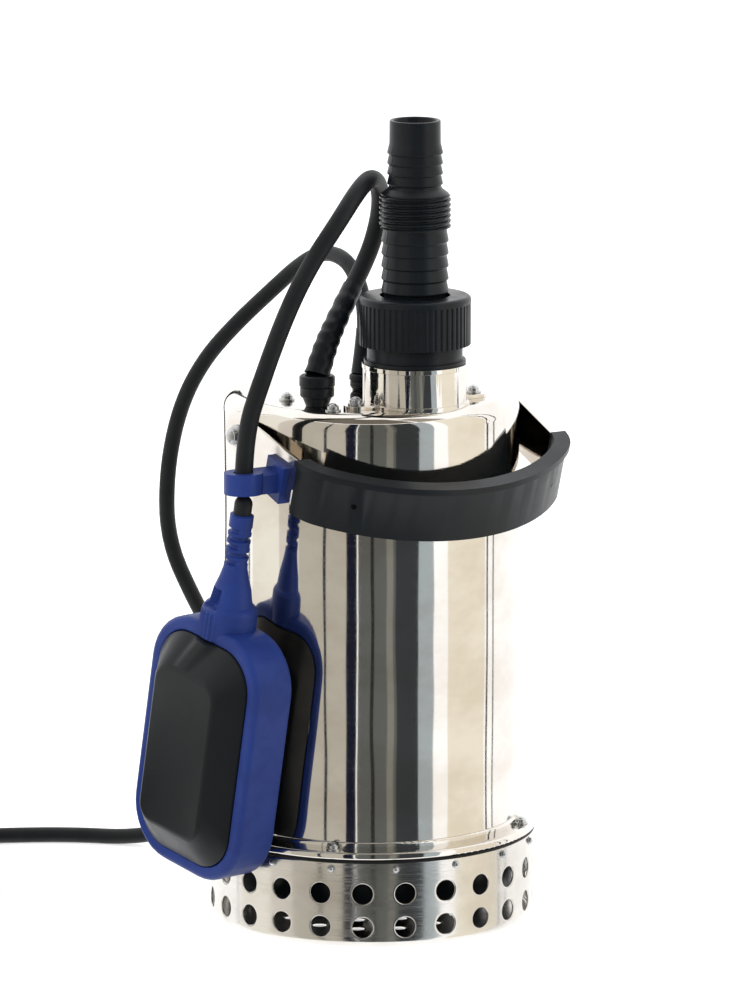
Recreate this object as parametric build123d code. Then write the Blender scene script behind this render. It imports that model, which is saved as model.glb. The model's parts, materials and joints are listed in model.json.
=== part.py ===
from build123d import *
import math
import os

# Submersible pump with a stainless shell, a stepped hose tail, a bail handle and a float switch.
# Millimetres, +Z up. The origin is on the shell's axis, at the underside of the strainer basket.
# -Y is the front, where the outlet stands and the handle reaches. The handle pivots about X.

# Heights of the stack, from the ground up
basket_height = 43.4
gasket_thickness = 1.2
flange_thickness = 3.8
collar_height = 3.6
shell_height = 214.0
flange_bottom = basket_height + gasket_thickness
flange_top = flange_bottom + flange_thickness
shell_bottom = flange_top + collar_height
shell_top = shell_bottom + shell_height

# Shell
shell_r = 74.0
shell_wall = 1.2
shell_shoulder_r = 8.5
shell_inner_r = shell_r - shell_wall
shell_inner_top = shell_top - shell_wall

# Base, stepped outwards from the shell
basket_step = 7.6
basket_r = shell_r + basket_step
basket_wall = 1.0
basket_corner_r = 4.0
basket_inner_r = basket_r - basket_wall
flange_lip = 1.4
flange_r = basket_r + flange_lip
flange_edge_r = 1.3
gasket_inset = 0.5
collar_lip = 1.4
collar_r = shell_r + collar_lip
collar_edge_r = 1.2
collar_wall = 3.4
collar_bore_r = shell_inner_r - collar_wall
collar_spigot_height = 9.0
fit_gap = 0.08

# Basket perforation
hole_d = 10.2
holes_per_row = 24
hole_rows = (10.2, 27.2)
hole_phase = -4.0
hole_punch_depth = 8.0
hole_punch_length = 20.0
floor_hole_d = 7.0
floor_ring_r = (28.0, 46.0)
floor_ring_count = (8, 14)

# Rivets of the basket and screws of the flange
rivet_r = 1.3
rivet_head_r = 2.1
rivet_grip = 0.7
rivet_drop = 3.6
rivet_height = basket_height - rivet_drop
rivet_count = 16
rivet_phase = -135.0
screw_r = 2.0
screw_washer = 0.9
flange_screw_head_r = 3.4
flange_screw_inset = 5.4
flange_screw_circle = flange_r - flange_screw_inset
flange_screw_bite = 4.8
flange_screw_angles = (-135, -45, 45, 135)

# Motor stack: oil chamber, lower bearing, stator, upper bearing and lid
water_gap = 10.8
can_r = shell_inner_r - water_gap
can_wall = 1.5
can_inner_r = can_r - can_wall
can_rise = 22.0
can_bottom = shell_bottom + can_rise
lid_space = 38.0
can_top = shell_top - lid_space
oil_case_inset = 5.0
oil_case_r = can_r - oil_case_inset
oil_case_wall = 4.0
oil_case_roof = 5.0
can_spigot = 6.0
stator_rise = 26.0
motor_head = 56.0
stator_length = can_top - can_bottom - stator_rise - motor_head
stator_bottom = can_bottom + stator_rise
stator_top = stator_bottom + stator_length
bore_share = 6 / 11
stator_bore_r = can_inner_r * bore_share
slot_count = 18
slot_depth = (can_inner_r - stator_bore_r) * bore_share
slot_width = 5.4
slot_clearance = 0.2
winding_overhang = 15.0
winding_back = 3.0
rotor_gap = 0.5
end_ring_height = 6.0
end_ring_inset = 1.5
end_ring_width = 12.0
shaft_tail_r = 4.0
shaft_drive_r = 6.0
shaft_seat_r = 8.5
shaft_core_r = 9.5
shaft_hole_gap = 3.0
bearing_r = 20.0
bearing_width = 12.0
bearing_race = 2.2
bearing_ball_r = 3.3
bearing_ball_gap = 0.06
bearing_ball_count = 7
bearing_pitch_r = (bearing_r + shaft_seat_r) / 2
bearing_sink = 8.0
lower_bearing = can_bottom - bearing_sink
bracket_lift = 7.0
upper_bearing = stator_top + winding_overhang + bracket_lift
bracket_thickness = 5.0
bracket_ledge = 3.0
bracket_hub_wall = 4.0
bracket_cap = 4.0
bracket_window_r = 9.0
bracket_window_angles = (-90, -30, 30, 150, 210)
bracket_bottom = upper_bearing - bracket_ledge
bracket_top = bracket_bottom + bracket_thickness
capacitor_room = can_inner_r - bearing_r - bracket_hub_wall
capacitor_r = 0.3425 * capacitor_room
capacitor_length = 0.76 * can_inner_r
capacitor_gap = 0.137 * capacitor_room
lid_thickness = 6.0
lid_spigot = 4.0
lid_spigot_wall = 3.0
boss_wall = 3.4
pillar_wall = 3.2
boss_bore_depth = 12.0
cable_hole_r = 3.2

# Pump casing, suction plate and impeller
suction_gap = 9.6
casing_r = basket_inner_r - suction_gap
casing_wall = 3.0
casing_inner_r = casing_r - casing_wall
casing_flange = 6.0
casing_web = 4.0
casing_depth = 27.9
casing_bottom = basket_height - casing_depth
casing_play = 0.15
web_bottom = basket_height - casing_web
port_count = 12
port_r = 4.6
port_circle = (oil_case_r + casing_inner_r) / 2
plate_thickness = 2.6
plate_bottom = casing_bottom - plate_thickness
eye_r = 19.0
eye_lip_height = 3.0
eye_lip_wall = 1.5
plate_screw_count = 6
plate_screw_r = 1.0
plate_screw_circle = casing_r - casing_wall / 2
impeller_gap = 1.4
impeller_rim_gap = 16.0
impeller_r = casing_inner_r - impeller_rim_gap
impeller_hub_r = 10.5
impeller_shroud = 2.6
impeller_height = 15.0
impeller_bottom = casing_bottom + impeller_gap
impeller_top = impeller_bottom + impeller_height
impeller_blades = 6
blade_thickness = 2.4
blade_sweep = 62.0
blade_bow = 0.32
impeller_nut_height = 6.0
impeller_nut_width = 16.0
seal_wall = 3.4
seal_rise = 4.0
seal_gap = 0.4
seal_face_gap = 0.05

# Outlet: steel spout, threaded adapter, collar nut and stepped hose tail
top_scale = shell_r / 74.0
spout_y = -42.0 * top_scale
spout_r = 25.8 * top_scale
spout_wall = 1.35
spout_bore_r = spout_r - spout_wall
spout_height = 20.2
spout_top = shell_top + spout_height
spout_weld = 1.4
spout_rim = 0.35
spout_rim_height = 2.2
ear_r = 6.2
ear_reach = 8.2
ear_x = spout_r + ear_reach
ear_thickness = 2.0
adapter_sink = 12.0
adapter_flange = 2.0
adapter_flange_r = spout_r - 0.6
adapter_neck_step = 2.2
adapter_neck_r = spout_r - adapter_neck_step
adapter_neck_height = 7.0
adapter_neck_top = spout_top + adapter_flange + adapter_neck_height
adapter_thread_step = 2.7
adapter_thread_r = adapter_neck_r - adapter_thread_step
adapter_thread_height = 10.8
adapter_top = adapter_neck_top + adapter_thread_height
adapter_bore_r = 14.0
hose_seal_thickness = 2.2
hose_seal_inset = 0.6
running_gap = 0.4
nut_lip = 1.8
nut_r = spout_r + nut_lip
nut_bottom = adapter_neck_top + running_gap
nut_height = 24.4
nut_top = nut_bottom + nut_height
nut_web = 7.0
nut_web_bottom = nut_top - nut_web
nut_rim = 3.6
nut_rim_r = 2.2
nut_rim_lip = 0.2
nut_groove_count = 54
nut_groove_r = 0.75
nut_mouth = 3.2
tail_seat = adapter_top + hose_seal_thickness
tail_flange_r = adapter_thread_r - hose_seal_inset
tail_bore_r = 10.4
tail_wall = 2.2
tail_land_r = tail_bore_r + tail_wall
tail_land_length = 12.0
large_barb_r = 16.6
large_barb_depth = 0.9
large_barb_count = 5
large_barb_length = 33.4
tail_thread_bottom = nut_top + large_barb_length
tail_thread_length = 16.8
tail_thread_r = large_barb_r + 1.0
tail_thread_pitch = 2.6
tail_thread_depth = 1.3
tail_step = tail_thread_bottom + tail_thread_length
small_barb_step = 1.1
small_barb_r = tail_land_r + small_barb_step
small_barb_count = 4
small_barb_length = 36.6
tail_top = tail_step + small_barb_length
tail_land_bottom = tail_top - tail_land_length

# Cable glands and top screws
float_gland_xy = (-46.0 * top_scale, -25.0 * top_scale)
mains_gland_xy = (-4.0 * top_scale, 2.0 * top_scale)
gland_stem_r = 5.0
gland_stem_length = 11.0
float_cone_r = 7.3
float_cap_r = 8.8
float_cap_low = shell_top + 4.6
float_cap_height = 10.9
float_cap_top = float_cap_low + float_cap_height
mains_cone_r = 5.6
mains_cap_r = 6.4
mains_cap_low = shell_top + 1.6
mains_cap_height = 6.9
mains_cap_top = mains_cap_low + mains_cap_height
top_screw_head_r = 3.9
top_screw_bite = 8.0
plain_screw_xy = ((-51.0 * top_scale, -4.0 * top_scale), (-47.0 * top_scale, spout_y))
ear_screw_xy = ((-ear_x, spout_y), (ear_x, spout_y))
screw_nut_width = 7.0
screw_nut_height = 3.2
nut_seat_gap = 0.12

# Handle: a bent strap that swings about X, with a moulded grip round its front
pivot_drop = 16.0
pivot_z = shell_top - pivot_drop
handle_drop = 17.5
strap_width = 24.0
strap_thickness = 2.0
half_strap = strap_thickness / 2
bush_length = 1.0
bush_r = 7.0
strap_pivot_x = shell_r + bush_length + half_strap
strap_flat = 14.0
strap_taper = 3.6
strap_front_x = strap_pivot_x - strap_taper
hand_gap = 24.0
handle_reach = shell_r + hand_gap
bow_margin = 19.6
front_bow_r = strap_front_x + bow_margin
strap_corner_r = 24.0
grip_start = 56.0
grip_margin = 2.5
grip_width = strap_width + 2 * grip_margin
grip_outer = 2.4
grip_inner = 2.2
grip_lip = 1.6
grip_lip_height = 3.2
pivot_screw_r = 3.0
pivot_head_r = 5.6
pivot_washer = 1.2
pivot_play = 0.12
pivot_nut_width = 10.0
pivot_nut_height = 4.5
grip_screw_x = 55.0
grip_screw_r = 1.45

# Float switch and its clip
float_cable_r = 4.5
mains_cable_r = 4.0
clip_along = 39.6
clip_out = 19.6
clip_fall = 4.3
clip_ring_r = 9.6
clip_ring_height = 10.5
clip_gap = 0.35
clip_jaw = 16.0
clip_plate = 3.0
clip_hook = 1.8
clip_arm = 9.0
float_hang = 10.5
float_face_angle = 191.3
float_lean = 10.7
cable_joint_gap = 0.2
float_width = 80.0
float_length = 128.0
float_band = 25.0
half_band = float_band / 2
float_band_wall = 7.0
float_corner_r = 27.0
float_band_edge_r = 3.2
float_boss = 7.2
float_bevel_x = 11.0
float_bevel_z = 16.0
float_wall = 2.4
float_seam = 0.05
float_top = 63.0
float_centre = -(float_top + float_length / 2)
relief_top = 5.0
relief_r = 5.9
relief_rib_depth = 1.0
relief_rib_count = 5
relief_rib_top = 11.5
relief_rib_bottom = 32.0
relief_collar_r = 14.0
relief_collar_top = 52.0
relief_collar_bottom = float_top + float_band_wall - 0.5
relief_flare = 16.0
relief_flare_start = 5.0
switch_width = 26.0
switch_ball_r = 5.4
switch_travel = 12.0
switch_wall = 3.0
switch_play = 0.1
switch_bore = 2 * switch_ball_r + switch_travel
boot_r = 6.2
boot_tip_r = 5.4

# Mains lead: coil, tie and plug
coil_centre = (-225.7, 171.8)
coil_mean_r = 68.0
coil_width = 40.0
coil_height = 32.0
coil_bottom = 1.4
coil_top = coil_bottom + coil_height
tie_thickness = 1.0
tie_width = 8.0
tie_gap = 0.3
tie_angle = -60.0
plug_angle = 180.0
plug_rear_r = 54.0
plug_r = 17.0
plug_length = 34.0
plug_neck_r = 6.5
plug_neck_length = 22.0
pin_r = 2.4
pin_length = 19.0
pin_spacing = 19.0

# Routes of the cables. The float's cable first runs up inside its boot. Heights are rises above
# the gland or the shell's top, and shares of the shell's height where a cable falls behind it.
boot_rises = [(-41, -23, 11.5), (-29, -16, 25.5), (-15, -7, 38.5)]
float_rises = [
    (-4, -2, 66), (2, -2, 81), (1, -8, 96), (-6, -17, 107), (-17, -28, 112), (-30, -38, 108),
    (-45, -44, 94), (-59, -41, 74), (-72, -40, 51), (-85, -39, 20),
]
over_clip = 23.0
mains_rises = [
    (-1, 3, 31), (3, 14, 49), (6, 33, 61), (6, 56, 62), (4, 76, 53), (-5, 90, 38), (-21, 97, 22),
    (-41, 96, 5), (-54, 98, -18),
]
mains_falls = [
    (-62, 98, 0.812), (-62, 98, 0.677), (-48, 96, 0.556), (-30, 98, 0.447), (-17, 106, 0.331),
    (-9, 119, 0.218), (-9, 136, 0.117), (-19, 157, 0.045),
]
mains_floor = [(-37, 180), (-60, 202), (-91, 219), (-123, 231), (-155, 241), (-200, 252)]
boot_route = [(*float_gland_xy, float_cap_top)]
boot_route += [(x, y, float_cap_top + rise) for x, y, rise in boot_rises]
float_route = [boot_route[-1]] + [(x, y, shell_top + rise) for x, y, rise in float_rises]
mains_route = [(*mains_gland_xy, mains_cap_top)]
mains_route += [(x, y, shell_top + rise) for x, y, rise in mains_rises]
mains_route += [(x, y, shell_top * share) for x, y, share in mains_falls]
mains_route += [(x, y, mains_cable_r) for x, y in mains_floor]

# Rise from the coil to the plug: angle before the plug's rear, height over the coil, extra radius
tail_rise = ((-105, -4.0, 30), (-83, 2.6, 28), (-62, 7.6, 20), (-41, 14.0, 10), (-20, 17.0, 2))

os.makedirs("parts", exist_ok=True)


def keep(name, *solids):
    """Writes one node. Several solids go into one file as separate solids."""
    shape = solids[0] if len(solids) == 1 else Compound(children=list(solids))
    export_step(shape, "parts/" + name + ".step")


def disc(radius, low, high):
    return Pos(0, 0, low) * extrude(Circle(radius), high - low)


def ring(outer, inner, low, high):
    return Pos(0, 0, low) * extrude(Circle(outer) - Circle(inner), high - low)


def around(shape, count, start=0.0):
    return [Rot(0, 0, start + i * 360 / count) * shape for i in range(count)]


def at_angles(shape, angles):
    return [Rot(0, 0, angle) * shape for angle in angles]


def turned(points):
    """A lathe piece from its half outline in radius and height."""
    return revolve(Plane.XZ * make_face(Polyline(*points, close=True)), Axis.Z)


def dome_screw(shank_r, head_r, shank_length, washer):
    """Domed cap on a washer, with its shank below. The washer's underside is at zero."""
    cap_r = head_r * 0.74
    rim = washer + head_r * 0.45
    screw = turned([(0, rim), (0, -shank_length), (shank_r, -shank_length), (shank_r, 0),
                    (head_r, 0), (head_r, washer), (cap_r, washer), (cap_r, rim)])
    dome = Pos(0, 0, rim) * Sphere(cap_r, arc_size1=0)
    return screw + dome


def hex_nut(width, height, bore_r):
    return extrude(RegularPolygon(width / 2, 6, major_radius=False) - Circle(bore_r), height)


def outer_circle(shape, radius, height):
    """The circular edge of a given radius at a given height."""
    return [e for e in shape.edges().filter_by(GeomType.CIRCLE)
            if abs(e.radius - radius) < 0.01 and abs(e.center().Z - height) < 0.01]


# Shell and outlet spout
def shell_block(radius, bottom, top, shoulder):
    block = disc(radius, bottom, top)
    return fillet(outer_circle(block, radius, top), shoulder)


def top_hole(xy, radius, depth):
    return Pos(*xy, 0) * disc(radius, shell_inner_top - depth, shell_top + 1)


def make_shell():
    shell = shell_block(shell_r, shell_bottom, shell_top, shell_shoulder_r)
    shell -= shell_block(shell_inner_r, shell_bottom - 1, shell_inner_top,
                         shell_shoulder_r - shell_wall)
    shell -= top_hole((0, spout_y), spout_bore_r, shell_shoulder_r)
    for xy in (float_gland_xy, mains_gland_xy):
        shell -= top_hole(xy, gland_stem_r + fit_gap, 1)
    for xy in plain_screw_xy + ear_screw_xy:
        shell -= top_hole(xy, screw_r + fit_gap, 1)
    across = Pos(0, 0, pivot_z) * Rot(0, 90, 0)
    return shell - across * extrude(Circle(pivot_screw_r + fit_gap), shell_r + 1, both=True)


def make_spout():
    """Drawn tube welded to the shell's top, with two screw ears at its foot."""
    foot = shell_top - shell_shoulder_r
    tube = ring(spout_r, spout_bore_r, foot, spout_top)
    weld = ring(spout_r + spout_weld, spout_bore_r, foot, shell_top + spout_weld)
    rim = ring(spout_r + spout_rim, spout_bore_r, spout_top - spout_rim_height, spout_top)
    ear = SlotOverall(2 * (ear_x + ear_r), 2 * ear_r) - Circle(spout_bore_r)
    ears = Pos(0, 0, shell_top) * extrude(ear, ear_thickness)
    spout = Pos(0, spout_y, 0) * (tube + weld + rim + ears)
    for xy in ear_screw_xy:
        spout -= Pos(*xy, 0) * disc(screw_r + fit_gap, foot, spout_top)
    return spout - shell_block(shell_r, shell_bottom, shell_top, shell_shoulder_r)


def make_adapter():
    """Threaded adapter pressed into the spout, under the collar nut."""
    low = spout_top - adapter_sink
    flange_top_z = spout_top + adapter_flange
    return Pos(0, spout_y, 0) * turned([
        (adapter_bore_r, low), (spout_bore_r - 1.5, low), (spout_bore_r, low + 2),
        (spout_bore_r, spout_top), (adapter_flange_r, spout_top),
        (adapter_flange_r, flange_top_z), (adapter_neck_r, flange_top_z),
        (adapter_neck_r, adapter_neck_top),
        (adapter_thread_r, adapter_neck_top + adapter_thread_step),
        (adapter_thread_r, adapter_top), (adapter_bore_r, adapter_top),
    ])


def make_hose_seal():
    return Pos(0, spout_y, 0) * ring(tail_flange_r, adapter_bore_r + hose_seal_inset,
                                     adapter_top, tail_seat)


def make_collar_nut():
    """Union nut: grip grooves cut all round, up to a plain rounded rim."""
    rim_bottom = nut_top - nut_rim
    groove = Pos(nut_r + nut_groove_r * 0.2, 0) * Circle(nut_groove_r)
    knurl = Circle(nut_r) - [Rot(0, 0, i * 360 / nut_groove_count) * groove
                             for i in range(nut_groove_count)]
    rim = disc(nut_r + nut_rim_lip, rim_bottom, nut_top)
    rim = fillet(outer_circle(rim, nut_r + nut_rim_lip, nut_top), nut_rim_r)
    nut = Pos(0, 0, nut_bottom) * extrude(knurl, rim_bottom - nut_bottom) + rim
    cavity_r = adapter_thread_r + running_gap
    nut -= disc(cavity_r, nut_bottom - 1, nut_web_bottom)
    nut -= disc(large_barb_r + 2 * running_gap, nut_web_bottom - 1, nut_top + 1)
    mouth = Cone(adapter_neck_r + 2 * running_gap, cavity_r, nut_mouth,
                 align=(Align.CENTER, Align.CENTER, Align.MIN))
    return Pos(0, spout_y, 0) * (nut - Pos(0, 0, nut_bottom) * mouth)


def barbs(low, high, count, crest, root):
    """Half outline of hose barbs: each rises steeply and slopes back in, going up."""
    step = (high - low) / count
    points = []
    for i in range(count):
        base = low + i * step
        points += [(root, base), (crest, base + 0.25 * step), (root, base + 0.99 * step)]
    return points


def thread_crests(low, high, pitch, crest, depth):
    points = []
    for i in range(int((high - low) / pitch)):
        base = low + i * pitch
        points += [(crest - depth, base), (crest, base + 0.3 * pitch),
                   (crest, base + 0.55 * pitch), (crest - depth, base + 0.9 * pitch)]
    return points


def make_hose_tail():
    """Stepped tail: barbs for a large hose, a male thread, then barbs for a small hose."""
    flange_low = nut_web_bottom - running_gap
    shoulder_r = large_barb_r - large_barb_depth
    points = [(tail_bore_r, tail_seat), (tail_flange_r, tail_seat), (tail_flange_r, flange_low),
              (shoulder_r - 0.4, flange_low)]
    points += barbs(nut_top + 1, tail_thread_bottom - 1, large_barb_count, large_barb_r,
                    shoulder_r)
    points += thread_crests(tail_thread_bottom, tail_step, tail_thread_pitch, tail_thread_r,
                            tail_thread_depth)
    points += [(small_barb_r + small_barb_step, tail_step), (tail_land_r, tail_step + 2)]
    points += barbs(tail_step + 2.5, tail_land_bottom, small_barb_count, small_barb_r,
                    tail_land_r + 0.3)
    points += [(tail_land_r, tail_land_bottom), (tail_land_r, tail_top - 0.6),
               (tail_land_r - 0.6, tail_top), (tail_bore_r, tail_top)]
    return Pos(0, spout_y, 0) * turned(points)


# Base
def outward(radius, start, length, height=0.0):
    """A pin that points outwards along X."""
    return Pos(start, 0, height) * Rot(0, 90, 0) * extrude(Circle(radius), length)


def make_basket():
    """Drawn strainer basket: rounded bottom corner, two rows of suction holes, holed floor."""
    cup = disc(basket_r, 0, basket_height)
    cup = fillet(outer_circle(cup, basket_r, 0), basket_corner_r)
    hollow = disc(basket_inner_r, basket_wall, basket_height + 1)
    hollow = fillet(outer_circle(hollow, basket_inner_r, basket_wall),
                    basket_corner_r - basket_wall)
    drill = outward(hole_d / 2, basket_inner_r - hole_punch_depth, hole_punch_length)
    drills = around(outward(rivet_r + fit_gap, basket_inner_r - 4, 12, rivet_height),
                    rivet_count, rivet_phase)
    for row in hole_rows:
        drills += [Pos(0, 0, row) * d for d in around(drill, holes_per_row, hole_phase)]
    for circle, count in zip(floor_ring_r, floor_ring_count):
        drills += around(Pos(circle, 0, 0) * disc(floor_hole_d / 2, -1, basket_wall + 1), count)
    return cup - hollow - drills


def make_rivets():
    depth = basket_wall + rivet_grip
    rivet = Pos(basket_r, 0, rivet_height) * Rot(0, 90, 0) * dome_screw(
        rivet_r, rivet_head_r, depth, 0.3)
    return around(rivet, rivet_count, rivet_phase)


def flange_screw_holes(low, high):
    hole = Pos(flange_screw_circle, 0, 0) * disc(screw_r, low, high)
    return at_angles(hole, flange_screw_angles)


def make_gasket():
    plate = ring(flange_r - gasket_inset, collar_bore_r, basket_height, flange_bottom)
    return plate - flange_screw_holes(basket_height - 1, flange_bottom + 1)


def make_flange():
    plate = ring(flange_r, collar_bore_r, flange_bottom, flange_top)
    rims = outer_circle(plate, flange_r, flange_bottom) + outer_circle(plate, flange_r, flange_top)
    plate = fillet(rims, flange_edge_r)
    return plate - flange_screw_holes(flange_bottom - 1, flange_top + 1)


def make_collar():
    """Collar that carries the shell: a bead outside and a spigot inside the shell."""
    bead = ring(collar_r, collar_bore_r, flange_top, shell_bottom)
    bead = fillet(outer_circle(bead, collar_r, shell_bottom), collar_edge_r)
    bead += ring(shell_inner_r, collar_bore_r, flange_top, shell_bottom + collar_spigot_height)
    relief = Pos(flange_screw_circle, 0, 0) * disc(flange_screw_head_r + 0.4, flange_top - 1,
                                                   shell_bottom + 1)
    return bead - at_angles(relief, flange_screw_angles)


def make_flange_screws():
    depth = flange_thickness + gasket_thickness + flange_screw_bite
    screw = Pos(flange_screw_circle, 0, flange_top) * dome_screw(
        screw_r, flange_screw_head_r, depth, screw_washer)
    return at_angles(screw, flange_screw_angles)


# Pump end
def make_casing():
    """Casing under the motor: flange in the basket's mouth, pump wall and ported web."""
    flange_r_in = basket_inner_r - casing_play
    casing = ring(flange_r_in, casing_inner_r, basket_height - casing_flange, basket_height)
    casing += ring(casing_r, casing_inner_r, casing_bottom, basket_height)
    casing += ring(casing_r, shaft_seat_r + seal_wall, web_bottom, basket_height)
    port = Pos(port_circle, 0, 0) * disc(port_r, web_bottom - 1, basket_height + 1)
    casing -= around(port, port_count, 180 / port_count)
    casing -= flange_screw_holes(basket_height - flange_screw_bite, basket_height + 1)
    pocket = outward(rivet_r, basket_inner_r - rivet_grip, 4, rivet_height)
    casing -= around(pocket, rivet_count, rivet_phase)
    hole = Pos(plate_screw_circle, 0, 0) * disc(plate_screw_r, casing_bottom - 1,
                                                casing_bottom + 6)
    return casing - around(hole, plate_screw_count)


def make_suction_plate():
    plate = ring(casing_r, eye_r, plate_bottom, casing_bottom)
    plate += ring(eye_r + eye_lip_wall, eye_r, plate_bottom - eye_lip_height, plate_bottom)
    hole = Pos(plate_screw_circle, 0, 0) * disc(plate_screw_r, plate_bottom - 1,
                                                casing_bottom + 1)
    return plate - around(hole, plate_screw_count)


def make_plate_screws():
    screw = Pos(plate_screw_circle, 0, plate_bottom) * Rot(180, 0, 0) * dome_screw(
        plate_screw_r, 2 * plate_screw_r, plate_thickness + 6, 0.5)
    return around(screw, plate_screw_count)


def make_impeller():
    """Semi-open impeller: a back shroud, a hub and blades that curve back to the rim."""
    sweep = math.radians(blade_sweep)
    start = impeller_hub_r - 1
    middle = (start + impeller_r) / 2
    bend = (middle * math.cos(sweep * blade_bow), middle * math.sin(sweep * blade_bow))
    tip = (impeller_r * math.cos(sweep), impeller_r * math.sin(sweep))
    blade = trace(ThreePointArc((start, 0), bend, tip), blade_thickness)
    shroud_bottom = impeller_top - impeller_shroud
    blade = Pos(0, 0, impeller_bottom) * extrude(blade, shroud_bottom - impeller_bottom)
    blade &= disc(impeller_r, impeller_bottom, shroud_bottom)
    wheel = disc(impeller_r, shroud_bottom, impeller_top)
    wheel += disc(impeller_hub_r, impeller_bottom, impeller_top)
    wheel += around(blade, impeller_blades)
    return wheel - disc(shaft_drive_r, impeller_bottom - 1, impeller_top + 1)


def make_impeller_nut():
    nut = hex_nut(impeller_nut_width, impeller_nut_height, shaft_tail_r)
    return Pos(0, 0, impeller_bottom - impeller_nut_height) * nut


def make_seal_seat():
    return ring(shaft_seat_r + seal_wall, shaft_seat_r + seal_gap, web_bottom,
                basket_height + seal_rise)


def make_seal_head():
    return ring(shaft_seat_r + seal_wall, shaft_seat_r, impeller_top,
                web_bottom - seal_face_gap)


# Motor
def make_oil_case():
    """Oil chamber between pump and motor, with the lower bearing's seat in its roof."""
    case = disc(oil_case_r, basket_height, can_bottom)
    case += disc(can_r, lower_bearing, can_bottom)
    case += disc(can_inner_r, can_bottom, can_bottom + can_spigot)
    case -= disc(oil_case_r - oil_case_wall, basket_height - 1, lower_bearing - oil_case_roof)
    case -= disc(shaft_seat_r + shaft_hole_gap, basket_height, can_bottom + can_spigot + 1)
    return case - disc(bearing_r, lower_bearing, can_bottom + can_spigot + 1)


def ball_groove(low):
    groove_r = bearing_ball_r + bearing_ball_gap
    return Pos(0, 0, low + bearing_width / 2) * Torus(bearing_pitch_r, groove_r)


def make_outer_race(low):
    race = ring(bearing_r, bearing_pitch_r + bearing_race, low, low + bearing_width)
    return race - ball_groove(low)


def make_inner_race(low):
    race = ring(bearing_pitch_r - bearing_race, shaft_seat_r, low, low + bearing_width)
    return race - ball_groove(low)


def make_balls(low):
    ball = Pos(bearing_pitch_r, 0, low + bearing_width / 2) * Sphere(bearing_ball_r)
    return around(ball, bearing_ball_count)


def slot_prisms(start, depth, width, low, high):
    """Straight prisms in the places of the stator's slots."""
    prism = Pos(start + depth / 2, 0, (low + high) / 2) * Box(depth, width, high - low)
    return around(prism, slot_count)


def make_stator():
    core = ring(can_inner_r, stator_bore_r, stator_bottom, stator_top)
    return core - slot_prisms(stator_bore_r - 1, slot_depth + 1, slot_width,
                              stator_bottom - 1, stator_top + 1)


def make_windings():
    """Winding overhangs at both ends, and the bars that fill the slots between them."""
    inner = stator_bore_r + 2
    outer = stator_bore_r + slot_depth + winding_back
    lower = ring(outer, inner, stator_bottom - winding_overhang, stator_bottom)
    lower = fillet(outer_circle(lower, outer, stator_bottom - winding_overhang), winding_back)
    upper = ring(outer, inner, stator_top, stator_top + winding_overhang)
    upper = fillet(outer_circle(upper, outer, stator_top + winding_overhang), winding_back)
    bars = slot_prisms(inner, slot_depth - 2 - slot_clearance, slot_width - 2 * slot_clearance,
                       stator_bottom, stator_top)
    return [lower, upper, *bars]


def make_rotor():
    outer = stator_bore_r - rotor_gap
    core = ring(outer, shaft_core_r, stator_bottom, stator_top)
    cage_outer = outer - end_ring_inset
    cage_inner = cage_outer - end_ring_width
    for low in (stator_bottom - end_ring_height, stator_top):
        core += ring(cage_outer, cage_inner, low, low + end_ring_height)
    return core


def make_shaft():
    core_bottom = lower_bearing + bearing_width
    end = upper_bearing + bearing_width + 1.5
    return turned([
        (0, impeller_bottom - impeller_nut_height - 1),
        (shaft_tail_r, impeller_bottom - impeller_nut_height - 1),
        (shaft_tail_r, impeller_bottom), (shaft_drive_r, impeller_bottom),
        (shaft_drive_r, impeller_top), (shaft_seat_r, impeller_top), (shaft_seat_r, core_bottom),
        (shaft_core_r, core_bottom), (shaft_core_r, upper_bearing), (shaft_seat_r, upper_bearing),
        (shaft_seat_r, end), (0, end),
    ])


def make_bracket():
    """Upper bearing bracket: a disc with windows and a capped hub round the bearing."""
    bracket = disc(can_inner_r, bracket_bottom, bracket_top)
    hub_top = upper_bearing + bearing_width + bracket_cap
    bracket += disc(bearing_r + bracket_hub_wall, bracket_bottom, hub_top)
    middle = (bearing_r + bracket_hub_wall + can_inner_r) / 2
    window = Pos(middle, 0, 0) * disc(bracket_window_r, bracket_bottom - 1, bracket_top + 1)
    bracket -= at_angles(window, bracket_window_angles)
    bracket -= disc(bearing_r, upper_bearing, upper_bearing + bearing_width)
    return bracket - disc(shaft_seat_r + shaft_hole_gap, bracket_bottom - 1, hub_top - 2)


def make_capacitor():
    reach = capacitor_r + bearing_r + bracket_hub_wall + capacitor_gap
    can = Pos(0, reach, bracket_top + capacitor_r) * Rot(0, 90, 0) * extrude(
        Circle(capacitor_r), capacitor_length / 2, both=True)
    return fillet(can.edges().filter_by(GeomType.CIRCLE), 1.5)


def make_lid():
    """Motor lid, with a boss under each gland and a pillar under each ear screw."""
    lid = disc(can_r, can_top, can_top + lid_thickness)
    lid += ring(can_inner_r, can_inner_r - lid_spigot_wall, can_top - lid_spigot, can_top)
    for xy in (float_gland_xy, mains_gland_xy):
        lid += Pos(*xy, 0) * disc(gland_stem_r + boss_wall, can_top, shell_inner_top)
    for xy in ear_screw_xy:
        lid += Pos(*xy, 0) * disc(screw_r + pillar_wall, can_top, shell_inner_top)
    for xy in (float_gland_xy, mains_gland_xy):
        lid -= top_hole(xy, gland_stem_r, boss_bore_depth)
        lid -= Pos(*xy, 0) * disc(cable_hole_r, can_top - lid_spigot - 1, shell_inner_top)
    for xy in ear_screw_xy:
        lid -= top_hole(xy, screw_r, boss_bore_depth)
    return lid


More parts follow.
